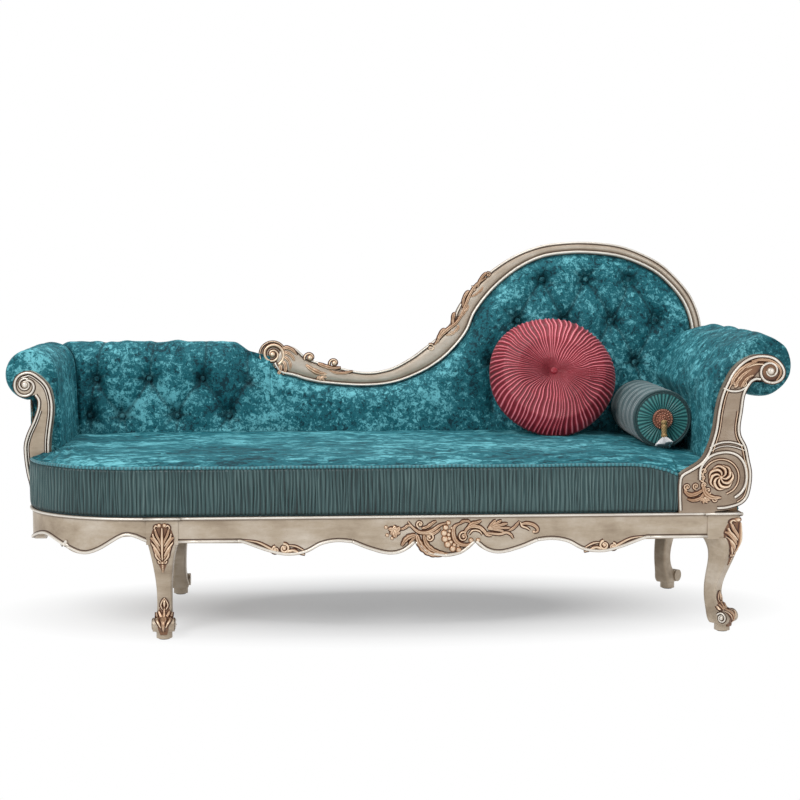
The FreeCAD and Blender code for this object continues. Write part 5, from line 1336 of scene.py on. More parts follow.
def stroke(points, widths, lift=0.55, lobes=0, vein=0.0, spacing=2.2, sink=1.2, around=9):
    """A carved stroke on a sheet (x, up): rings whose third number is how far they stand out."""
    line = smooth(np.column_stack([points, widths]), spacing)
    side = rightward(heading(line[:, :2]))
    share = np.linspace(0, 1, len(line))
    width = np.maximum(line[:, 2], 0.4)
    if lobes:
        width = width * (0.80 + 0.26 * np.abs(np.sin(pi * lobes * share)) ** 0.7)
    turn = np.linspace(pi, 0, around)
    across, rise = np.cos(turn), np.sin(turn) ** 0.8
    rise = rise * (1 - vein * bell(across, 0.22))
    out = width[:, None] * lift * rise[None, :]
    flat = line[:, None, :2] + side[:, None, :] * (across * 0.5)[None, :, None] * width[:, None, None]
    rings = np.concatenate([flat, out[..., None]], axis=2)
    # The skirt sinks into the wood at height 0, so each stroke gets a dark edge of glaze and painted shade.
    rings[:, [0, -1], 2] = GLAZE_AND_SHADE_STAND
    skirt = np.empty((len(line), 4, 3))
    reach = width[:, None] * 0.5 + GLAZE_AND_SHADE_REACH
    for k, (sign, stand) in enumerate(((1, GLAZE_AND_SHADE_STAND), (1, -sink), (-1, -sink), (-1, GLAZE_AND_SHADE_STAND))):
        skirt[:, k, :2] = line[:, :2] + sign * side * reach
        skirt[:, k, 2] = stand
    rings = np.concatenate([rings, skirt], axis=1)
    level = np.concatenate([np.broadcast_to(rise, out.shape), np.zeros((len(line), 4))], axis=1)
    points, faces = loft(rings)
    return points, faces, level.ravel()


def knob(x, up, radius, lift=0.8):
    """A carved ball, half sunk in the wood."""
    turn = np.linspace(0, tau, 18, endpoint=False)[None, :]
    rise = np.linspace(0, pi / 2 - 0.05, 7)[:, None]
    r = radius * np.cos(rise)
    rings = stack(x + r * np.cos(turn), up + r * np.sin(turn),
        radius * lift * np.sin(rise) * np.ones_like(turn))
    base = rings[:1].copy()
    base[..., 2] = -1.2
    rings = np.concatenate([base, rings])
    level = np.concatenate([np.zeros((1, 18)), 0.25 + 0.75 * np.sin(rise) * np.ones_like(turn)])
    points, faces = loft(rings)
    return points, faces, level.ravel()


def spiral(x, up, start, turns, angle, hand, end=0.0):
    """Points of a spiral that winds in from a start radius, on a sheet."""
    count = int(ceil(turns * 14))
    t = np.linspace(0, 1, count)
    r = end + (start - end) * (1 - t) ** 1.15
    a = angle + hand * tau * turns * t
    return np.stack([x + r * np.cos(a), up + r * np.sin(a)], axis=1)


def curl(x, up, start, turns, angle, hand, width, end_width=None, lift=0.6, ball=0.0):
    """A spiral stroke that thins inwards, with a ball at its eye."""
    line = spiral(x, up, start, turns, angle, hand, end=ball * 0.9)
    widths = np.linspace(width, width * 0.55 if end_width is None else end_width, len(line))
    parts = [stroke(line, widths, lift, spacing=1.8)]
    if ball:
        parts.append(knob(x, up, ball))
    return parts


def leaf(points, width, lobes=4, lift=0.42, tip=0.12):
    """An acanthus leaf: wide near its root, lobed along its edge, veined, pointed at its tip."""
    count = len(points)
    t = np.linspace(0, 1, count)
    widths = width * (np.sin(pi * (0.12 + 0.80 * t)) ** 0.8 * (1 - tip) + tip * (1 - t))
    return [stroke(points, widths, lift, lobes=lobes, vein=0.45)]


def fan(x, up, angles, length, width, bend=0.5, lift=0.5):
    """Leaves or petals that spread from one place."""
    parts = []
    for a in angles:
        line = [(x + length * t * cos(a + bend * t), up + length * t * sin(a + bend * t))
            for t in (0.12, 0.45, 0.75, 1)]
        parts.append(stroke(line, [width * 0.5, width, width * 0.85, width * 0.25], lift, vein=0.3))
    return parts


def on_front(y):
    """Puts a sheet on an upright face at depth y, standing out to the front."""
    def put(points):
        return place(stack(points[:, 0], y - points[:, 2], points[:, 1]))
    return put


def on_crest(points):
    return raked(stack(points[:, 0], -12.0 - points[:, 2], points[:, 1]))


def carving(name, parts, put, material, slot, replaces=()):
    points, faces, level = gather(parts)
    piece = make(name, put(points), faces, material, slot, attributes={"height": level}, replaces=replaces)
    print(f"{name}: {len(parts)} strokes, {len(faces)} faces")
    return piece


# %% [markdown]
# ## The crest rail
#
# The crest is one swept moulding: a thin bead and groove along the top edge, a broad rounded band,
# and a larger silver bead that frames the velvet. Its width changes along the way, so the section
# is drawn again at every step from the width there.

# %% Crest moulding
def crest_section(width):
    """Closed section (up from the middle, depth, height number) of the crest at a width."""
    w = width / 2
    # The third number sets the colour: glaze and painted shade in the grooves, a painted highlight on the
    # bead tops.
    rows = [(w, 38, .3), (w, -2, .3), (w - 0.6, -8, .55), (w - 2.2, -11.5, .9), (w - 4.2, -12.2, .95),
        (w - 6.0, -11, .5), (w - 6.8, -9.0, .05), (w - 8.2, -9.2, .08), (w - 9.6, -11.4, .5),
        (w - 13, -12.8, .66), (0, -14.6, .72), (-w + 14.5, -12.4, .62), (-w + 12.2, -10.4, .35),
        (-w + 11.0, -9.0, .05), (-w + 9.8, -10.0, .3), (-w + 8.6, -13.6, .85), (-w + 6.0, -16.2, 1.0),
        (-w + 3.2, -15.0, .95), (-w + 1.2, -11.6, .6), (-w + 0.4, -8, .2), (-w, -4, .1), (-w, 38, .3)]
    return np.array(rows, float)


sections = np.array([crest_section(w) for w in crest_path[:, 2]])
rings = stack(crest_path[:, None, 0] + crest_up[:, None, 0] * sections[..., 0], sections[..., 1],
    crest_path[:, None, 1] + crest_up[:, None, 1] * sections[..., 0])
points, faces = loft(rings)
level = sections[..., 2].ravel()
VOLUTE_X, VOLUTE_UP, VOLUTE_R = -607.0, 236.0, 40.0
turn = np.linspace(0, tau, 72, endpoint=False)[None, :]
profile = np.array([(VOLUTE_R - 1, 37), (VOLUTE_R, 0), (VOLUTE_R - 0.5, -8), (VOLUTE_R - 3, -11),
    (0.6, -12)])
disc = stack(VOLUTE_X + profile[:, :1] * np.cos(turn), profile[:, 1:] * np.ones_like(turn),
    VOLUTE_UP + profile[:, :1] * np.sin(turn))
disc_points, disc_faces = loft(disc)
disc_level = np.repeat([.3, .3, .4, .5, .3], 72)
points, faces, level = gather([(points, faces, level), (disc_points, disc_faces, disc_level)])
make("crest_moulding", raked(points), faces, champagne_carved, "champagne_wood",
    attributes={"height": level}, replaces=["crest_rail"])
print("crest rail:", len(faces), "faces")

# %% [markdown]
# The crest starts in a volute, and a leaf wraps its neck. Further along lie a small flower, a ball
# curl, and the long leaf that climbs the outer edge where the crest turns upwards.

# %% Crest carvings
parts = curl(VOLUTE_X, VOLUTE_UP, 34, 1.7, radians(-60), 1, 10, 5, 0.62, ball=9)
parts += [stroke(spiral(VOLUTE_X, VOLUTE_UP, 38, 0.9, radians(-80), 1, 36), [3.0] * 13, 0.6)]
for k in range(5):
    a = radians(-52 + 21 * k)
    parts += leaf([(VOLUTE_X + 30 * cos(a), VOLUTE_UP + 30 * sin(a)),
        (VOLUTE_X + 44 * cos(a - 0.12), VOLUTE_UP + 44 * sin(a - 0.12)),
        (VOLUTE_X + 58 * cos(a - 0.34), VOLUTE_UP + 56 * sin(a - 0.34)),
        (VOLUTE_X + 70 * cos(a - 0.60), VOLUTE_UP + 64 * sin(a - 0.60))], 12.5, 2, 0.5)
carving("crest_volute_leaves", parts, on_crest, copper_gilt, "copper_carving", ["crest_volute_carving"])

parts = [knob(-500, 226, 9), knob(-431, 210, 8)]
parts += curl(-500, 226, 17, 1.1, radians(200), -1, 6, 3, 0.6)
parts += curl(-431, 210, 15, 1.1, radians(200), -1, 5.5, 3, 0.6)
parts += leaf([(-512, 206), (-494, 192), (-472, 182), (-446, 178)], 17, 3)
parts += leaf([(-478, 210), (-460, 202), (-436, 196), (-412, 198)], 13, 3)
parts += leaf([(-446, 190), (-424, 182), (-400, 182), (-378, 188)], 10, 2)
parts += fan(-470, 176, [radians(a) for a in (-150, -115, -80, -45, -10)], 20, 8)
carving("crest_flower", parts, on_crest, copper_gilt, "copper_carving", ["crest_flower_carving"])


def crest_at(share, across):
    """A place on the crest's face: share along it, and across from its middle as a part of its width."""
    k = np.clip(share * (len(crest_path) - 1), 0, len(crest_path) - 1)
    index = np.arange(len(crest_path))
    row = [np.interp(k, index, crest_path[:, j]) for j in range(3)]
    up = [np.interp(k, index, crest_up[:, j]) for j in range(2)]
    return row[0] + up[0] * across * row[2], row[1] + up[1] * across * row[2]


LEAF_FROM, LEAF_TO = 0.315, 0.475
parts = []
spine = [crest_at(LEAF_FROM + (LEAF_TO - LEAF_FROM) * t, 0.30 + 0.14 * sin(t * 9))
    for t in np.linspace(0, 1, 9)]
parts += [stroke(spine, [5, 9, 11, 10, 9, 10, 9, 7, 4], 0.6, vein=0.4)]
for k, t in enumerate(np.linspace(0.04, 0.86, 7)):
    s = LEAF_FROM + (LEAF_TO - LEAF_FROM) * t
    root = crest_at(s, 0.28)
    hand = -1 if k % 2 else 1
    tip_one = crest_at(s + 0.012, 0.28 + 0.20 * hand)
    tip_two = crest_at(s + 0.026, 0.30 + 0.26 * hand)
    tip_three = crest_at(s + 0.030, 0.34 + 0.16 * hand)
    parts += leaf([root, tip_one, tip_two, tip_three], 11 - 0.5 * k, 2, 0.55)
for share, across, size in ((0.305, 0.30, 11), (0.352, 0.12, 8), (0.405, 0.10, 9), (0.445, 0.42, 8),
        (0.482, 0.40, 7)):
    x, up = crest_at(share, across)
    parts += curl(x, up, size, 1.2, radians(120), -1, size * 0.5, size * 0.25, 0.62, ball=size * 0.30)
carving("crest_leaf", parts, on_crest, copper_gilt, "copper_carving", ["crest_leaf_carving"])

# %% [markdown]
# ## The right arm's post
#
# The post is shaped by the frame, and its face is worked: a silver bead runs round the whole edge
# and curls into the volute, a second fine line follows it, leaves fill the head, an arched moulding
# closes the neck, and the base carries a pinwheel flower in a ring, with a leafy tail.

# %% Edge mouldings of the posts
def inset(points, distance):
    """A line beside a smooth one, moved to its right-hand side."""
    line = smooth(points, 5.0)
    return line + rightward(heading(line)) * distance


def bead_line(points, distance, width, lift=0.5):
    """A round bead that runs beside a line, at a distance from it."""
    line = inset(points, distance)
    if len(line) > 60:
        line = line[::2]
    return stroke(line, [width] * len(line), lift, spacing=3.0)


RIGHT_FACE, RX = -5.0, 857.0
shoulder = [(-158, 318), (-160, 360), (-159, 395), (-152, 411), (-123, 428), (-100, 445), (-85, 470),
    (-70, 519), (-63, 570), (-54, 612), (-41, 643), (-27, 670), (-3, 695), (24, 709), (51, 712), (78, 706),
    (98, 689), (107, 669), (101, 650), (86, 640), (70, 638)]
outer_side = [(-60, 320), (-35, 322), (-4, 331), (14, 346), (23, 372), (26, 411), (19, 446), (11, 480),
    (-3, 507), (-6, 531), (-1, 569), (4, 608), (14, 631), (28, 647), (44, 647)]
shoulder = [(x + RX, z) for x, z in shoulder]
outer_side = [(x + RX, z) for x, z in outer_side]
parts = [bead_line(shoulder, 3.6, 6.8, 0.62), bead_line(outer_side[::-1], 3.6, 6.4, 0.6)]
parts += [stroke([(RX - 50, 628), (RX - 30, 621), (RX - 8, 622), (RX + 10, 632)], [5, 6, 6, 5], 0.6)]
parts += [stroke([(RX - 82, 477), (RX - 62, 488), (RX - 38, 492), (RX - 16, 489), (RX + 2, 482)], [5] * 5,
    0.6)]
parts += [stroke([(RX - 84, 466), (RX - 62, 478), (RX - 38, 482), (RX - 14, 478), (RX + 8, 470)], [3] * 5,
    0.6)]
ring = [(RX + x, z) for x, z in [(-106, 396), (-103, 428), (-80, 456), (-45, 466), (-15, 460), (5, 440),
    (13, 410), (11, 384), (1, 364), (-16, 350)]]
parts += [stroke(ring, [7.0] * len(ring), 0.6)]
parts += curl(RX + 69, 671, 29, 1.25, radians(-90), -1, 7, 5, 0.7, ball=10.5)
carving("right_post_beads", parts, on_front(RIGHT_FACE), champagne_carved, "champagne_wood")

head = stroke([(RX - 14, 634), (RX - 6, 652), (RX + 10, 670), (RX + 30, 684), (RX + 56, 697)],
    [36, 42, 42, 30, 8], 0.02)
eye = stroke([(RX + x, 671) for x in (46, 56, 69, 82, 92)], [14, 40, 48, 40, 14], 0.02)
GROUND_TONE = 0.42
parts = [(points, faces, level * GROUND_TONE) for points, faces, level in (head, eye)]
parts += [bead_line(shoulder[6:12], 11.5, 3.0, 0.7), bead_line(outer_side[::-1][4:9], 11.0, 3.0, 0.7)]
ring = spiral(RX - 52, 402, 47, 0.78, radians(210), -1, 45)
parts += [stroke(ring, [4.0] * len(ring), 0.6)]
parts += [bead_line(outer_side[::-1][8:13], 9.5, 3.0, 0.7)]
parts += leaf([(RX - 31, 636), (RX - 24, 654), (RX - 9, 673), (RX + 12, 688), (RX + 36, 696)], 12, 5, 0.55)
parts += leaf([(RX - 20, 632), (RX - 13, 648), (RX + 2, 665), (RX + 22, 677)], 11, 4, 0.55)
parts += leaf([(RX - 6, 630), (RX + 1, 642), (RX + 12, 655), (RX + 28, 662)], 9, 3, 0.6)
parts += curl(RX - 20, 638, 7, 1.2, radians(250), 1, 4.4, 2.2, 0.6, ball=3)
parts += curl(RX + 2, 640, 7, 1.2, radians(250), 1, 4.0, 2.0, 0.6, ball=3)
parts += [stroke([(RX + 20, 696), (RX + 44, 700), (RX + 70, 696), (RX + 90, 682), (RX + 95, 664),
    (RX + 84, 646)], [5, 8, 8, 7, 6, 4], 0.55, vein=0.4)]
parts += [stroke([(RX + 8, 680), (RX + 30, 688), (RX + 56, 688)], [3, 6, 3], 0.6)]
carving("right_volute_leaves", parts, on_front(RIGHT_FACE), copper_gilt, "copper_carving",
    ["right_volute_carving"])

parts = [knob(RX - 52, 402, 6.5)]
for k in range(7):
    a = radians(51.4 * k + 20)
    arm = [(RX - 52 + r * cos(a + b), 402 + r * sin(a + b)) for r,
        b in ((5, 0), (14, 0.35), (23, 0.85), (30, 1.45), (31, 2.0))]
    parts += [stroke(arm, [4, 7, 9, 7, 2], 0.75)]
for k in range(4):
    a = radians(160 + 22 * k)
    parts += curl(RX - 52 + 46 * cos(a), 402 + 46 * sin(a), 9, 1.1, a + 1.6, -1, 5, 2.5, 0.6, ball=2.6)
parts += leaf([(RX - 98, 384), (RX - 92, 364), (RX - 76, 352), (RX - 50, 350)], 15, 4, 0.5)
parts += leaf([(RX - 96, 372), (RX - 112, 362), (RX - 130, 358), (RX - 142, 366), (RX - 140, 378)], 12, 4,
    0.5)
parts += leaf([(RX - 92, 366), (RX - 104, 350), (RX - 122, 344), (RX - 138, 348)], 10, 3, 0.5)
parts += curl(RX - 138, 378, 9, 1.2, radians(270), -1, 5, 2.4, 0.6, ball=3.2)
parts += curl(RX - 116, 380, 8, 1.2, radians(270), -1, 4.5, 2.2, 0.6, ball=3.0)
parts += curl(RX - 66, 346, 8, 1.2, radians(100), 1, 4.5, 2.2, 0.6, ball=2.8)
parts += fan(RX - 92, 350, [radians(a) for a in (-170, -130, -90, -50, -10, 30)], 15, 8)
parts += [knob(RX - 92, 350, 4.5)]
carving("right_post_flower", parts, on_front(RIGHT_FACE), copper_gilt, "copper_carving",
    ["right_post_rosette"])

# %% [markdown]
# ## The left arm's post
#
# The left post is slimmer and plain between its edges: a bright bead and a finer one inside it run
# up both sides and meet in the volute, which ends in a ball.

# %% Left post mouldings
LEFT_FACE, LX = 200.0, -955.0
inner_side = [(50, 440), (50, 473), (53, 503), (60, 555), (59, 589), (49, 624), (28, 648), (3, 662),
    (-22, 657), (-37, 640), (-38, 616), (-24, 599), (-4, 597), (10, 606), (16, 622), (10, 638), (-6, 644)]
outer_edge = [(-1, 352), (-3, 370), (-9, 396), (-14, 434), (-15, 469), (-7, 499), (9, 534), (20, 564),
    (22, 586), (14, 600)]
inner_side = [(x + LX, z) for x, z in inner_side]
outer_edge = [(x + LX, z) for x, z in outer_edge]
parts = [bead_line(inner_side[::-1], 3.4, 6.4, 0.62), bead_line(outer_edge, 3.4, 6.0, 0.6)]
parts += curl(LX - 10, 628, 17, 1.2, radians(60), 1, 5.5, 4, 0.7, ball=9)
parts += [bead_line(inner_side[:9][::-1], 11.0, 3.0, 0.6), bead_line(outer_edge[2:8], 10.0, 2.6, 0.6)]
carving("left_post_beads", parts, on_front(LEFT_FACE), champagne_carved, "champagne_wood")

# %% [markdown]
# ## Mouldings of the rails
#
# A joiner runs the bead and the apron's edge with a shaped plane or a router bit, so each is one
# section swept along its line. `moulding` does the same: it needs the line, the way that faces
# outwards at each place, and the section. The bead breaks forward over the leg blocks.

# %% Rail mouldings
RAIL_UNDER, RAIL_UP, RAIL_RIGHT_END = 247.0, 312.0, 857.0
BLOCK_LEFT, BLOCK_RIGHT, BLOCK_STAND = (-640.0, -561.0), (774.0, 857.0), 3.0
REAR_FACE, APRON_MIDDLE = 578.0, 106.5


def moulding(path, outwards, profile):
    """A section (out, up, height number) swept along a line on a face."""
    path, outwards, profile = np.asarray(path, float), np.asarray(outwards, float), np.array(profile, float)
    up = np.cross(outwards, heading(path))
    up /= np.linalg.norm(up, axis=1)[:, None]
    rings = path[:, None] + outwards[:, None] * profile[:, :1] + up[:, None] * profile[:, 1:2]
    points, faces = loft(rings)
    return points, faces, np.tile(profile[:, 2], len(path))


def straight_run(start, end, outward_way, profile, step=30.0):
    """A moulding along a straight line."""
    count = max(2, int(np.linalg.norm(np.subtract(end, start)) / step))
    path = np.linspace(start, end, count)
    return moulding(path, np.tile(outward_way, (count, 1)), profile)


def corner_plan(count=90):
    """The rounded corner's face in plan, from the left end rail to the front, and its outward ways."""
    angle = np.linspace(0, pi / 2, count)
    middle = RAIL_END + CORNER_REACH
    plan = stack(middle - CORNER_REACH * np.cos(angle), CORNER_DEPTH - CORNER_DEPTH * np.sin(angle), 0)
    ways = stack(-np.cos(angle) * CORNER_DEPTH, -np.sin(angle) * CORNER_REACH, 0)
    return plan, ways / np.linalg.norm(ways, axis=1)[:, None]


FRONT, LEFTWARDS, RIGHTWARDS = (0.0, -1.0, 0.0), (-1.0, 0.0, 0.0), (1.0, 0.0, 0.0)
BEAD_FOOT = RAIL_UP - 9.0
BEAD_SECTION = [(-2, 0, 0), (1.2, 0, .05), (2.4, 0.6, .3), (3.0, 1.8, .6), (3.0, 2.6, .12), (4.6, 3.0, .5),
    (6.4, 4.2, .95), (7.0, 5.8, 1), (6.4, 7.6, .95), (4.4, 8.7, .8), (2.0, 9, .6), (-2, 9, .3)]
BEAD_RUNS = [
    ((RAIL_END, REAR_FACE), (RAIL_END, CORNER_DEPTH), LEFTWARDS),
    ((BLOCK_LEFT[0] - 7, -BLOCK_STAND), (BLOCK_LEFT[1] + 7, -BLOCK_STAND), FRONT),
    ((BLOCK_LEFT[1], 0), (BLOCK_RIGHT[0], 0), FRONT),
    ((BLOCK_RIGHT[0] - 7, -BLOCK_STAND), (RAIL_RIGHT_END + 6, -BLOCK_STAND), FRONT),
    ((RAIL_RIGHT_END, -BLOCK_STAND - 6), (RAIL_RIGHT_END, REAR_FACE), RIGHTWARDS)]
plan, ways = corner_plan()
parts = [moulding(plan + (0, 0, BEAD_FOOT), ways, BEAD_SECTION)]
parts += [straight_run((*start, BEAD_FOOT), (*end, BEAD_FOOT), way, BEAD_SECTION)
    for start, end, way in BEAD_RUNS]
carving("rail_top_moulding", parts, place, champagne_carved, "champagne_wood", ["rail_bead"])

APRON_HALF = [[(0, 205), (42, 214), (76, 241)], [(76, 241), (106, 219), (142, 213), (190, 225), (235, 243)],
    [(235, 243), (272, 246), (310, 239), (350, 219), (398, 213), (445, 223), (505, 245), (520, 247)]]
CORNER_UNDER = [[(0, 250), (-35, 264), (-62, 262), (-121, 227), (-162, 216), (-206, 229)],
    [(-206, 229), (-228, 240), (-262, 254), (-290, 246), (-315, 226)]]
EDGE_SECTION = [(-2, 0, 0), (2.4, 0, .4), (4.4, 1.4, .85), (5.0, 3.6, 1), (4.4, 6.0, .9), (2.6, 7.6, .5),
    (1.0, 8.2, .05), (0.9, 9.4, 0), (0.4, 10.4, .1), (-2, 10.4, 0)]
parts = []
for hand in (-1, 1):
    for run in APRON_HALF:
        line = smooth([(APRON_MIDDLE + hand * x, z) for x, z in run], 4.0)[::hand]
        parts.append(moulding(stack(line[:, 0], 0, line[:, 1]), np.tile(FRONT, (len(line), 1)),
            EDGE_SECTION))
    first = APRON_MIDDLE + hand * 519
    block = BLOCK_LEFT[1] if hand < 0 else BLOCK_RIGHT[0]
    parts.append(straight_run((min(first, block), 0, RAIL_UNDER), (max(first, block), 0, RAIL_UNDER), FRONT,
        EDGE_SECTION))
for run in CORNER_UNDER:
    line = smooth([(RAIL_END + CORNER_REACH + x, z) for x, z in run], 4.0)[::-1]
    inside = (plan[:, 0] >= line[0, 0] - 0.01) & (plan[:, 0] <= line[-1, 0] + 0.01)
    path = plan[inside] + np.interp(plan[inside, 0], line[:, 0], line[:, 1])[:, None] * (0, 0, 1)
    parts.append(moulding(path, ways[inside], EDGE_SECTION))
lobe = smooth([(REAR_FACE, RAIL_UNDER), (400, 247), (340, 247), (300, 228), (262, 216),
    (CORNER_DEPTH, 226)], 4.0)
parts.append(moulding(stack(RAIL_END, lobe[:, 0], lobe[:, 1]), np.tile(LEFTWARDS, (len(lobe), 1)),
    EDGE_SECTION))
carving("apron_edge", parts, place, champagne_carved, "champagne_wood", ["apron_edge_moulding"])

# %% [markdown]
# ## Carving on the apron
#
# The middle of the front rail carries a half shell in a C-scroll, with acanthus plumes, a rose to
# its left and a palm spray and hooks to its right. Two small curled scrolls mark the outer lobes.

# %% Cartouche and scrolls
def on_apron(points):
    return on_front(0.0)(points + (APRON_MIDDLE, 0, 0))


parts = []
for x, z, r in ((8, 292, 6.5), (1, 280, 8), (-3, 266, 9), (-1, 251, 9.5), (6, 237, 9.5), (19, 226, 9),
        (34, 223, 8)):
    parts += [knob(x, z, r, 0.75), knob(x + (30 - x) * 0.35, z + (254 - z) * 0.35, r * 0.62, 0.8)]
parts += [stroke([(38, 291), (24, 283), (20, 268), (24, 250), (36, 238), (56, 235), (70, 242)],
    [4, 8, 11, 12, 11, 8, 5], 0.6, vein=0.3)]
parts += curl(46, 256, 13, 1.3, radians(60), 1, 6, 3, 0.6, ball=4.5)
parts += [stroke([(54, 254), (50, 268), (62, 281), (84, 281), (98, 270), (106, 260), (118, 258)],
    [4, 7, 9, 10, 9, 7, 3], 0.6, vein=0.3)]
parts += [stroke([(60, 262), (70, 272), (86, 270), (94, 260)], [3, 5, 5, 2], 0.55)]
parts += leaf([(56, 278), (66, 288), (80, 292), (92, 297)], 11, 3, 0.55)
parts += leaf([(36, 288), (44, 295), (56, 296), (66, 290)], 8, 2, 0.55)
for tip, width in (((128, 298), 9), ((143, 297), 9), ((158, 289), 9), ((166, 277), 8), ((150, 268), 7)):
    base = (108, 275)
    parts += leaf([base, (base[0] * .6 + tip[0] * .4, base[1] * .6 + tip[1] * .4 + 1.5),
        (base[0] * .2 + tip[0] * .8, base[1] * .2 + tip[1] * .8 + 1), tip], width, 3, 0.6)
parts += [stroke([(100, 266), (116, 264), (138, 262), (154, 266), (166, 260), (172, 250)],
    [4, 6, 7, 7, 6, 3], 0.6, vein=0.3)]
parts += leaf([(160, 270), (172, 277), (180, 285), (188, 295)], 8, 2, 0.6)
parts += [stroke([(190, 292), (194, 282), (206, 277), (214, 271)], [4, 6, 5, 3], 0.6)]
parts += [stroke([(192, 287), (206, 289), (222, 285), (232, 277), (233, 268), (224, 265)],
    [5, 8, 9, 8, 6, 3], 0.6, vein=0.3)]
parts += [knob(65, 247, 7), knob(83, 247, 6), knob(224, 267, 4)]
parts += [stroke([(4, 292), (-14, 286), (-28, 276), (-46, 268), (-66, 269), (-82, 281), (-94, 296)],
    [3, 7, 9, 10, 9, 6, 3], 0.6, vein=0.3)]
parts += leaf([(-12, 278), (-24, 268), (-38, 263), (-54, 262)], 9, 3, 0.55)
parts += curl(-64, 289, 9, 1.1, radians(250), -1, 5, 3, 0.6, ball=3.4)
parts += leaf([(-60, 278), (-46, 282), (-32, 292), (-22, 297)], 9, 3, 0.6)
parts += leaf([(-74, 262), (-90, 258), (-102, 248), (-110, 234)], 14, 4, 0.55)
parts += leaf([(-76, 256), (-86, 246), (-90, 236), (-98, 228)], 9, 3, 0.55)
parts += leaf([(-72, 262), (-66, 244), (-54, 226), (-34, 213), (-8, 209)], 17, 6, 0.5)
parts += leaf([(-54, 262), (-50, 244), (-40, 230), (-24, 220), (0, 214)], 13, 5, 0.55)
parts += leaf([(-46, 240), (-34, 226), (-14, 216), (12, 213)], 9, 4, 0.6)
parts += curl(-40, 255, 12, 1.2, radians(130), -1, 6.5, 3.5, 0.65, ball=4.5)
ROSE_X, ROSE_Z = -127.0, 272.0
for k, (length, width) in enumerate(((17, 13), (15, 12), (18, 13), (14, 12), (17, 14), (15, 12))):
    parts += fan(ROSE_X, ROSE_Z, [tau * k / 6 + 0.3], length, width, 0.45, 0.5)
parts += fan(ROSE_X, ROSE_Z, [tau * k / 5 for k in range(5)], 10, 8, 0.6, 0.75)
parts += [knob(ROSE_X, ROSE_Z, 4.6, 1.1), knob(-149, 282, 5), knob(-146, 262, 5), knob(-134, 254, 4.5)]
parts += leaf([(-112, 276), (-102, 280), (-94, 286), (-84, 284)], 8, 3, 0.6)
carving("apron_shell", parts, on_apron, copper_gilt, "copper_carving", ["apron_cartouche"])

LOBE_STROKES = [
    ([(505, 253), (470, 247), (440, 232), (424, 222)], [2, 5, 7, 6], 0.5, 0),
    ([(398, 222), (382, 226), (368, 220), (352, 214)], [6, 8, 6, 2], 0.55, 3),
    ([(392, 238), (376, 236), (360, 228), (350, 220)], [3, 5, 4, 2], 0.55, 0)]
parts = []
for hand in (-1, 1):
    for line, widths, lift, lobes in LOBE_STROKES:
        parts += [stroke([(hand * x, z) for x, z in line], widths, lift, lobes=lobes)]
    parts += curl(hand * 426, 227, 9.5, 1.3, radians(90), -hand, 6.5, 3, 0.65, ball=4.4)
    parts += curl(hand * 404, 231, 12, 1.2, radians(100), hand, 7.5, 4, 0.65, ball=5.4)
carving("apron_lobe_scrolls", parts, on_apron, copper_gilt, "copper_carving", ["apron_scrolls"])

CORNER_BUD_X = RAIL_END + CORNER_REACH - 206.0
parts = [knob(0, 243, 10 * 0.62), knob(0, 236, 7 * 0.62)]
parts += [stroke([(-16, 232), (-6, 240), (4, 236), (16, 228)], [3, 6, 6, 2], 0.6)]


def on_corner(x0):
    """Puts a small sheet on the rounded corner, about one place of it."""
    y0 = float(front_line(np.array(x0), 0.0))
    slope = float(front_line(np.array(x0 + 1), 0.0)) - y0
    along = np.array((1.0, slope, 0)) / np.hypot(1.0, slope)
    out = np.array((along[1], -along[0], 0))

    def put(points):
        return place(np.array((x0, y0, 0)) + points[:, :1] * along + points[:, 2:] * out + points[:, 1:2]
            * (0, 0, 1))
    return put


carving("corner_bud", parts, on_corner(CORNER_BUD_X), champagne_carved, "champagne_wood")

# %% [markdown]
# ## Leaves on the knees and feet
#
# A cabriole leg's section changes all the way down, so the carver's leaf lies on a curved face.
# The same sections as the joiner's give that face here: `knee_face` says how far forward the wood
# lies at each place, and the sheet of strokes is bent over it. A thin ground under the strokes is
# left rough and dark, as punched ground is.

# %% Leg carvings
LEG_SECTIONS = [(1.00, 0, 38, 37), (0.945, 6, 34, 35), (0.88, 9, 30, 32), (0.76, 5, 25, 27),
    (0.62, -6, 21, 23), (0.46, -16, 19, 19), (0.32, -15, 18.5, 19), (0.19, -2, 21, 25), (0.13, 6, 24, 28),
    (0.085, 9, 22, 25)]
leg_rows = smooth([(RAIL_UNDER * share, u, a, b) for share, u, a, b in LEG_SECTIONS], 3.0)[::-1]
LEG_PLACES = {"left": (-600.5, 36.5, 0.0, 39.5, 1.0), "right": (815.5, 38.5, radians(45), 58.7, -1.0)}
TOE_Y, TOE_Z, TOE_R, TOE_HALF = -26.0, 38.0, 17.0, 27.0


def knee_face(x, z, block_reach, corner):
    """How far forward (-Y) the leg's wood lies. The block is flat, or stands corner first."""
    u, a, b = (np.interp(z, leg_rows[:, 0], leg_rows[:, k]) for k in (1, 2, 3))
    r = 0.38 * np.minimum(a, b)
    over = np.clip(np.abs(x) - (a - r), 0, r)
    leg = -u - b + r - np.sqrt(np.maximum(r * r - over * over, 0))
    block = -block_reach + (np.abs(x) if corner else 0.0)
    share = ease((z - 196) / 48)
    joined = leg + (np.minimum(block, leg) - leg) * share
    toe_z = np.clip(z - TOE_Z, -TOE_R, TOE_R)
    toe = TOE_Y - np.sqrt(TOE_R ** 2 - toe_z ** 2)
    near_toe = (np.abs(z - TOE_Z) < TOE_R) & (np.abs(x) < TOE_HALF)
    joined = np.where(near_toe, np.minimum(joined, toe), joined)
    return np.where(z > 247, block, joined)


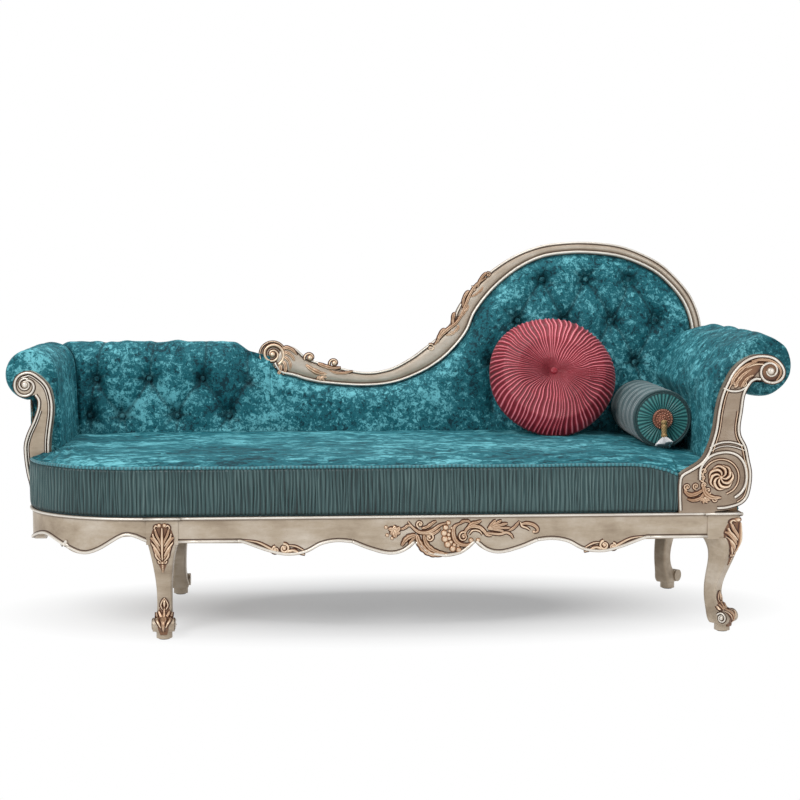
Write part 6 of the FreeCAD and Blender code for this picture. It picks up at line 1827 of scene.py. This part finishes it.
def on_knee(side, proud=1.6):
    """Puts a sheet on the knee's side of a leg."""
    x0, y0, turned, reach, corner = LEG_PLACES[side]

    def put(points):
        y = knee_face(points[:, 0], points[:, 1], reach, corner < 0) - proud - points[:, 2]
        x = points[:, 0]
        return place(stack(x0 + x * cos(turned) - y * sin(turned), y0 + x * sin(turned) + y * cos(turned),
            points[:, 1]))
    return put


def ground(outline, rows=40, across=15, thick=6.0):
    """A sheet's ground: a thin plate with a given half width at each height."""
    heights, reaches = np.array(outline, float).T
    z = np.linspace(heights[0], heights[-1], rows)
    half = np.interp(z, heights, reaches)
    t = np.linspace(-1, 1, across)
    front_side = stack(half[:, None] * t, z[:, None], -0.9 * np.abs(t) ** 6)
    back_side = front_side[:, ::-1].copy()
    back_side[..., 2] = -thick
    points, faces = loft(np.concatenate([front_side, back_side], axis=1))
    return points, faces, np.full(len(points), 0.34)


def both(points, widths, **ways):
    """A stroke and its mirror image."""
    return [stroke([(hand * x, z) for x, z in points], widths, **ways) for hand in (-1, 1)]


def knee_leaf():
    parts = [ground([(172, 2), (186, 7), (200, 13), (214, 19), (232, 24), (247, 29), (262, 30), (280, 24),
        (297, 15)])]
    parts += [knob(hand * 6.5, 293, 5.6, 0.9) for hand in (-1, 1)]
    parts += both([(8, 288), (15, 292), (19, 286), (15, 281)], [3, 5, 4, 2], lift=0.6)
    parts += both([(17, 282), (13, 268), (7, 256), (3, 244)], [5, 7, 6, 3], lift=0.6, vein=0.3)
    parts += both([(23, 272), (20, 262), (13, 252), (5, 240)], [4, 6, 6, 3], lift=0.6)
    parts += both([(29, 262), (22, 258), (13, 244), (5, 228)], [4, 8, 7, 3], lift=0.6, vein=0.3)
    parts += both([(27, 250), (21, 242), (12, 230), (5, 216)], [3, 6, 6, 3], lift=0.6)
    parts += both([(20, 240), (17, 230), (10, 220), (4, 208)], [4, 8, 6, 3], lift=0.6, vein=0.3)
    parts += both([(17, 226), (15, 216), (10, 208), (3, 201)], [4, 6, 5, 3], lift=0.6)
    parts += [stroke([(0, 286), (0, 260), (0, 232), (0, 205)], [4, 8, 7, 4], 0.7)]
    parts += both([(11, 203), (8, 197), (3, 199)], [4, 5, 2], lift=0.6)
    parts += [knob(0, 198, 4.2, 0.9)]
    parts += [knob(0, 190 - 5.6 * k, 3.3 - 0.35 * k, 0.8) for k in range(4)]
    return parts


def foot_leaf():
    parts = [ground([(14, 9), (30, 13), (50, 15), (62, 17), (76, 12), (90, 6), (101, 1)])]
    parts += both([(0, 101), (6, 92), (9, 82), (4, 72)], [2, 4, 4, 2], lift=0.6)
    parts += [stroke([(0, 97), (0, 88), (0, 78)], [3, 7, 3], 0.7)]
    parts += both([(14, 70), (10, 62), (5, 54), (2, 42)], [5, 7, 6, 3], lift=0.6, vein=0.3)
    parts += both([(20, 66), (18, 56), (12, 46), (6, 34)], [4, 6, 6, 3], lift=0.6)
    parts += [stroke([(0, 76), (0, 60), (0, 40), (0, 22)], [3, 8, 9, 3], 0.6, vein=0.4)]
    return parts


for name, strokes_of, replaced in (("knee_leaves", knee_leaf, "knee_leaf_carvings"),
        ("foot_leaves", foot_leaf, "foot_leaf_carvings")):
    placed = []
    for side in LEG_PLACES:
        points, faces, level = gather(strokes_of())
        placed.append((on_knee(side)(points), faces, level))
    points, faces, level = gather(placed)
    make(name, points, faces, copper_gilt, "copper_carving", attributes={"height": level},
        replaces=[replaced])
    print(name, len(faces), "faces")


def on_toe(side, hand):
    """Puts a sheet (forward, up) on one end of a leg's toe roll."""
    x0, y0, turned = LEG_PLACES[side][:3]

    def put(points):
        x = hand * (TOE_HALF + points[:, 2])
        y = -points[:, 0]
        return place(stack(x0 + x * cos(turned) - y * sin(turned), y0 + x * sin(turned) + y * cos(turned),
            points[:, 1]))
    return put


placed = []
for side in LEG_PLACES:
    for hand in (-1, 1):
        parts = curl(-TOE_Y, TOE_Z, TOE_R - 3, 1.35, radians(150), -1, 5.5, 3.5, 0.6, ball=6)
        points, faces, level = gather(parts)
        placed.append((on_toe(side, hand)(points), faces, level))
points, faces, level = gather(placed)
make("toe_volutes", points, faces, champagne_carved, "champagne_wood", attributes={"height": level})
print("toe volutes", len(faces), "faces")

# %% [markdown]
# ## Outside and underneath
#
# The outside of the arms and the back is covered too. Cloth over a thin layer of wadding swells a
# little between its tacked edges, and a piping hides each edge.

# %% Outer panels
PANEL_SWELL = 4.0


def panel(outer, inner):
    """A closed pad from two grids of points (rows, across, 3)."""
    points, faces = loft(np.concatenate([outer, inner[:, ::-1]], axis=1))
    return points, faces, 0.0


def swell(rows, across):
    """0 on a panel's edge, 1 over most of its middle."""
    u, v = np.linspace(0, 1, rows)[:, None], np.linspace(0, 1, across)[None, :]
    return ease(np.minimum(u, 1 - u) * 9) * ease(np.minimum(v, 1 - v) * 7)


PANEL_LOW, PANEL_TOP = 313.0, ROLL_HEIGHT - ROLL_RADIUS + 2.0


def roll_panel(first, last):
    """The outside of the arm or the low back: a wall that follows the roll's path."""
    path, inward = ROLL_PATH[first:last + 1], ROLL_INWARD[first:last + 1]
    z = np.linspace(PANEL_LOW, PANEL_TOP, 24)[None, :]
    out = 1.0 + PANEL_SWELL * swell(len(path), 24)
    grids = []
    for distance in (-out, np.full_like(out, 2.0)):
        grids.append(stack(path[:, :1] + inward[:, :1] * distance, path[:, 1:2] + inward[:, 1:2] * distance,
            z))
    return panel(*grids)


def high_panel():
    x = np.linspace(HIGH_LEFT, 600, 150)
    top = crest_edge_height(x) + 6
    h = -120 + (top + 120)[:, None] * np.linspace(0, 1, 60)[None, :]
    wide = x[:, None] * np.ones_like(h)
    outer = stack(wide, 34 + PANEL_SWELL * swell(150, 60), h)
    inner = stack(wide, 31.2, h)
    return panel(outer, inner)


low = roll_panel(corner_at, len(ROLL_PATH) - 1)
high = high_panel()
points, faces, fold_shade = gather([(place(low[0]), low[1], 0.0), (raked(high[0]), high[1], 0.0)])
padded(make("back_outer_panel", points, faces, velvet, "teal_velvet", attributes={"fold_shade": fold_shade},
    replaces=["back_outer_cover"]))
points, faces, fold_shade = roll_panel(0, corner_at)
padded(make("left_arm_outer_panel", place(points), faces, velvet, "teal_velvet",
    attributes={"fold_shade": np.zeros(len(points))}, replaces=["left_arm_outer_cover"]))
rows, across = 110, 40
y = np.linspace(RIGHT_ARM_FRONT, RIGHT_ARM_BACK, rows)[:, None]
z = np.linspace(PANEL_LOW, ARM_Z - ARM_R - 8, across)[None, :]
outer = stack(ARM_RIGHT_END + 3 + PANEL_SWELL * swell(rows, across), y, z)
points, faces, fold_shade = panel(outer, stack(ARM_RIGHT_END, y, z))
padded(make("right_arm_outer_panel", place(points), faces, velvet, "teal_velvet",
    attributes={"fold_shade": np.zeros(len(points))}, replaces=["right_arm_outer_cover"]))


def piping_run(points, radius=2.6):
    line = smooth(points, 5.0)
    points, faces = loft(tube(line, radius, 8))
    # Painted light and shade along the turns of the piping.
    return points, faces, np.repeat(0.5 + 0.5 * np.sin(np.arange(len(line)) * 1.7), 8)


low_rail = 316.0
corner_points = [(ROLL_X - 2, ARM_START + 2), (ROLL_X - 2, 400), (ROLL_X - 2, ROLL_Y - TURN),
    (ROLL_X + 27, ROLL_Y - 27), (ROLL_X + TURN, ROLL_Y + 2), (-600, ROLL_Y + 2), (LOW_END, ROLL_Y + 2)]
parts = [piping_run([(x, y, low_rail) for x, y in corner_points]),
    piping_run([(ARM_RIGHT_END + 3, RIGHT_ARM_FRONT + 4, low_rail), (ARM_RIGHT_END + 3, 330, low_rail),
    (ARM_RIGHT_END + 3, RIGHT_ARM_BACK, low_rail)])]
parts = [(place(p), f, n) for p, f, n in parts]
edge = [(x, 36.0, float(crest_edge_height(x)) + 1) for x in np.linspace(HIGH_LEFT + 6, 596, 46)]
points, faces, ridge = piping_run(edge)
parts.append((raked(points), faces, ridge))
points, faces, ridge = gather(parts)
padded(make("outer_piping", points, faces, teal_piping, "teal_piping", attributes={"ridge": ridge}))

# %% [markdown]
# Underneath, one sheet of black cloth closes the seat. It is cut to the frame's own dust cover, pulled
# tight, and tacked along its edges and the cross rails, and between those it sags a few millimetres.

# %% Dust cover
def cloth(name, colours, thread=900.0, rough=0.85):
    """Plain woven cloth: two shades in a fine cross weave."""
    net = Net(name)
    warp = net.noise(thread, detail=1.0, at=net.stretched((1.0, 0.15, 1.0)))
    weft = net.noise(thread, detail=1.0, at=net.stretched((0.15, 1.0, 1.0)))
    weave = (warp + weft) * 0.5
    colour = net.ramp(weave, [(0.35, colours[0]), (0.65, colours[1])])
    net.bump(weave, 0.0006, 0.6)
    return net.set(base_color=colour, roughness=rough)


black_cloth = cloth("black_cloth", ((0.006, 0.006, 0.007), (0.022, 0.022, 0.024)))
burlap = cloth("burlap", ((0.16, 0.10, 0.05), (0.42, 0.30, 0.17)), 500.0)
webbing = cloth("webbing", ((0.22, 0.15, 0.08), (0.50, 0.40, 0.26)), 700.0)

cover_low, cover_high = (drawn(corner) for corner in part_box("dust_cover"))
COVER_X, COVER_Y = (cover_low[0], cover_high[0]), (cover_low[1], cover_high[1])
COVER_TOP = cover_high[2]
CROSS_RAILS, SAG = (-167.0, 420.0), 4.0
u, v = np.linspace(0, 1, 120)[:, None], np.linspace(0, 1, 60)[None, :]
x = COVER_X[0] + (COVER_X[1] - COVER_X[0]) * u
held_up = np.min([ease(np.abs(x - at) / 130) for at in (*COVER_X, *CROSS_RAILS)], axis=0)
drop = SAG * held_up * np.sin(pi * v) ** 0.7
grid = stack(x, COVER_Y[0] + (COVER_Y[1] - COVER_Y[0]) * v, COVER_TOP - 0.2 - drop)
thin = grid - (0, 0, 0.9)
points, faces, _ = panel(grid, thin)
dust = make("dust_cloth", place(points), faces, black_cloth, "black_cloth", replaces=["dust_cover"])

# %% [markdown]
# ## Finishes for the joiner's own pieces
#
# The rails, legs, posts and hidden frame keep their CAD shape, and only get a material. What shows
# is leafed, the inner frame is bare beech, and the hidden layers are webbing and burlap; the foam
# was already replaced by the seat's padding.

# %% Materials on the frame
def beech(name):
    """Bare wood with long grain and small darker flecks."""
    net = Net(name)
    grain = net.noise(26.0, detail=6.0, roughness=0.65, at=net.stretched((0.12, 1.0, 1.0)))
    fleck = net.noise(240.0, detail=2.0, at=net.stretched((0.2, 1.0, 1.0)))
    colour = net.ramp(grain * 0.8 + fleck * 0.2, [(0.3, (0.22, 0.115, 0.05)), (0.7, (0.48, 0.30, 0.16))])
    net.bump(grain * 0.6 + fleck * 0.4, 0.0006, 0.4)
    return net.set(base_color=colour, roughness=0.6)


def turned_metal(name, colour, dull, rough):
    net = Net(name)
    cloud = net.noise(40.0, detail=3.0)
    scratch = net.noise(600.0, detail=2.0, at=net.stretched((1.0, 1.0, 0.1)))
    shade = net.mix((cloud * 0.7 + scratch * 0.3).clamp(), dull, colour)
    net.bump(scratch, 0.0003, 0.3)
    return net.set(base_color=shade, metallic=0.9, roughness=rough - cloud * 0.1)


def glide_plastic(name):
    net = Net(name)
    scuff = net.noise(180.0, detail=4.0)
    colour = net.ramp(scuff, [(0.4, (0.02, 0.018, 0.016)), (0.7, (0.08, 0.075, 0.07))])
    net.bump(scuff, 0.0004, 0.4)
    return net.set(base_color=colour, roughness=0.55)


champagne_post = plain_leaf("champagne_post", (0.20, 0.135, 0.09), (0.335, 0.255, 0.185),
    (0.55, 0.47, 0.39), 0.45)
FINISHES = {
    champagne: ["front_rail", "left_corner_rail", "left_end_rail", "rear_rail", "right_end_rail",
        "front_left_leg", "front_right_leg", "rear_left_leg", "rear_right_leg", "left_arm_post"],
    champagne_post: ["right_arm_post"],
    beech("beech"): ["corner_blocks", "seat_cross_rails", "right_arm_frame", "left_arm_frame",
        "low_back_board", "back_stiles"],
    turned_metal("zinc_screws", (0.62, 0.63, 0.65), (0.36, 0.36, 0.38), 0.42): ["frame_screws"],
    glide_plastic("glide_nylon"): ["foot_glides"],
    webbing: ["seat_webbing", "back_webbing"],
    burlap: ["seat_burlap"]}
finished = 0
for finish, names in FINISHES.items():
    for name in names:
        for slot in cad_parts[name].material_slots:
            slot.material = finish
        finished += 1
print(finished, "frame pieces finished")

# %% [markdown]
# ## Floor and light
#
# The floor is pale. To the camera it turns white away from the couch, by a mix with an emission
# that only camera, mirror and glass rays see, so the couch keeps its soft shadow near its feet and
# the background stays white.

# %% Floor
def studio_floor():
    net = Net("studio_floor")
    tree = net.tree
    speck = net.noise(3.0, detail=3.0)
    net.set(base_color=net.ramp(speck, [(0.3, (0.80, 0.80, 0.80)), (0.7, (0.84, 0.84, 0.84))]),
        roughness=0.9, specular_ior_level=0.1)
    rays = tree.nodes.new("ShaderNodeLightPath")
    seen = Value(net, rays.outputs["Is Camera Ray"]) + Value(net, rays.outputs["Is Glossy Ray"]) \
        + Value(net, rays.outputs["Is Transmission Ray"])
    x, y = (net.node("SeparateXYZ", output=k, vector=net.places) for k in (0, 1))
    away = ((x * 0.80) ** 2.0 + (y * 1.9) ** 2.0) ** 0.5
    white_share = ((away - 0.35) * 1.9).clamp() * 0.70 + 0.30
    white = tree.nodes.new("ShaderNodeEmission")
    mixer = tree.nodes.new("ShaderNodeMixShader")
    net.feed(mixer.inputs[0], (seen.clamp() * white_share).clamp())
    tree.links.new(net.shader.outputs[0], mixer.inputs[1])
    tree.links.new(white.outputs[0], mixer.inputs[2])
    tree.links.new(mixer.outputs[0], tree.nodes["Material Output"].inputs["Surface"])
    return net.material


FLOOR_REACH = 30.0
floor_mesh = bpy.data.meshes.new("floor")
corners = [(-FLOOR_REACH, -FLOOR_REACH, 0), (FLOOR_REACH, -FLOOR_REACH, 0), (FLOOR_REACH, FLOOR_REACH, 0),
    (-FLOOR_REACH, FLOOR_REACH, 0)]
floor_mesh.from_pydata(corners, [], [(0, 1, 2, 3)])
floor_mesh.materials.append(studio_floor())
add_object("floor", floor_mesh)

# %% [markdown]
# The world gives an even light from all round, and only the camera sees it as white. Three soft
# lamps add the shape: the key from the left front, a weaker fill from the right, and one above.

# %% Light
AMBIENT = 0.50
world = bpy.data.worlds.new("studio")
bpy.context.scene.world = world
world.use_nodes = True
tree = world.node_tree
soft = tree.nodes["Background"]
soft.inputs["Color"].default_value = (0.95, 0.97, 1.0, 1)
soft.inputs["Strength"].default_value = AMBIENT
white = tree.nodes.new("ShaderNodeBackground")
white.inputs["Color"].default_value = (1, 1, 1, 1)
rays = tree.nodes.new("ShaderNodeLightPath")
total = tree.nodes.new("ShaderNodeMath")
total.operation = "MAXIMUM"
tree.links.new(rays.outputs["Is Camera Ray"], total.inputs[0])
tree.links.new(rays.outputs["Is Transmission Ray"], total.inputs[1])
mixer = tree.nodes.new("ShaderNodeMixShader")
tree.links.new(total.outputs[0], mixer.inputs[0])
tree.links.new(soft.outputs[0], mixer.inputs[1])
tree.links.new(white.outputs[0], mixer.inputs[2])
tree.links.new(mixer.outputs[0], tree.nodes["World Output"].inputs["Surface"])


def lamp(name, stand, aim, size, power):
    data = bpy.data.lights.new(name, "AREA")
    data.size = size
    data.energy = power
    thing = add_object(name, data)
    thing.location = stand
    thing.rotation_euler = (Vector(aim) - Vector(stand)).to_track_quat("-Z", "Y").to_euler()


COUCH_MIDDLE = (0.0, 0.0, 0.4)
LAMPS = {"key": ((-2.2, -3.2, 3.2), 1.8, 105), "fill": ((2.8, -2.6, 1.8), 2.4, 32),
    "top": ((0, 0.4, 3.4), 2.4, 55)}
for name, (stand, size, power) in LAMPS.items():
    lamp(name, stand, COUCH_MIDDLE, size, power)
print("floor and three lamps")
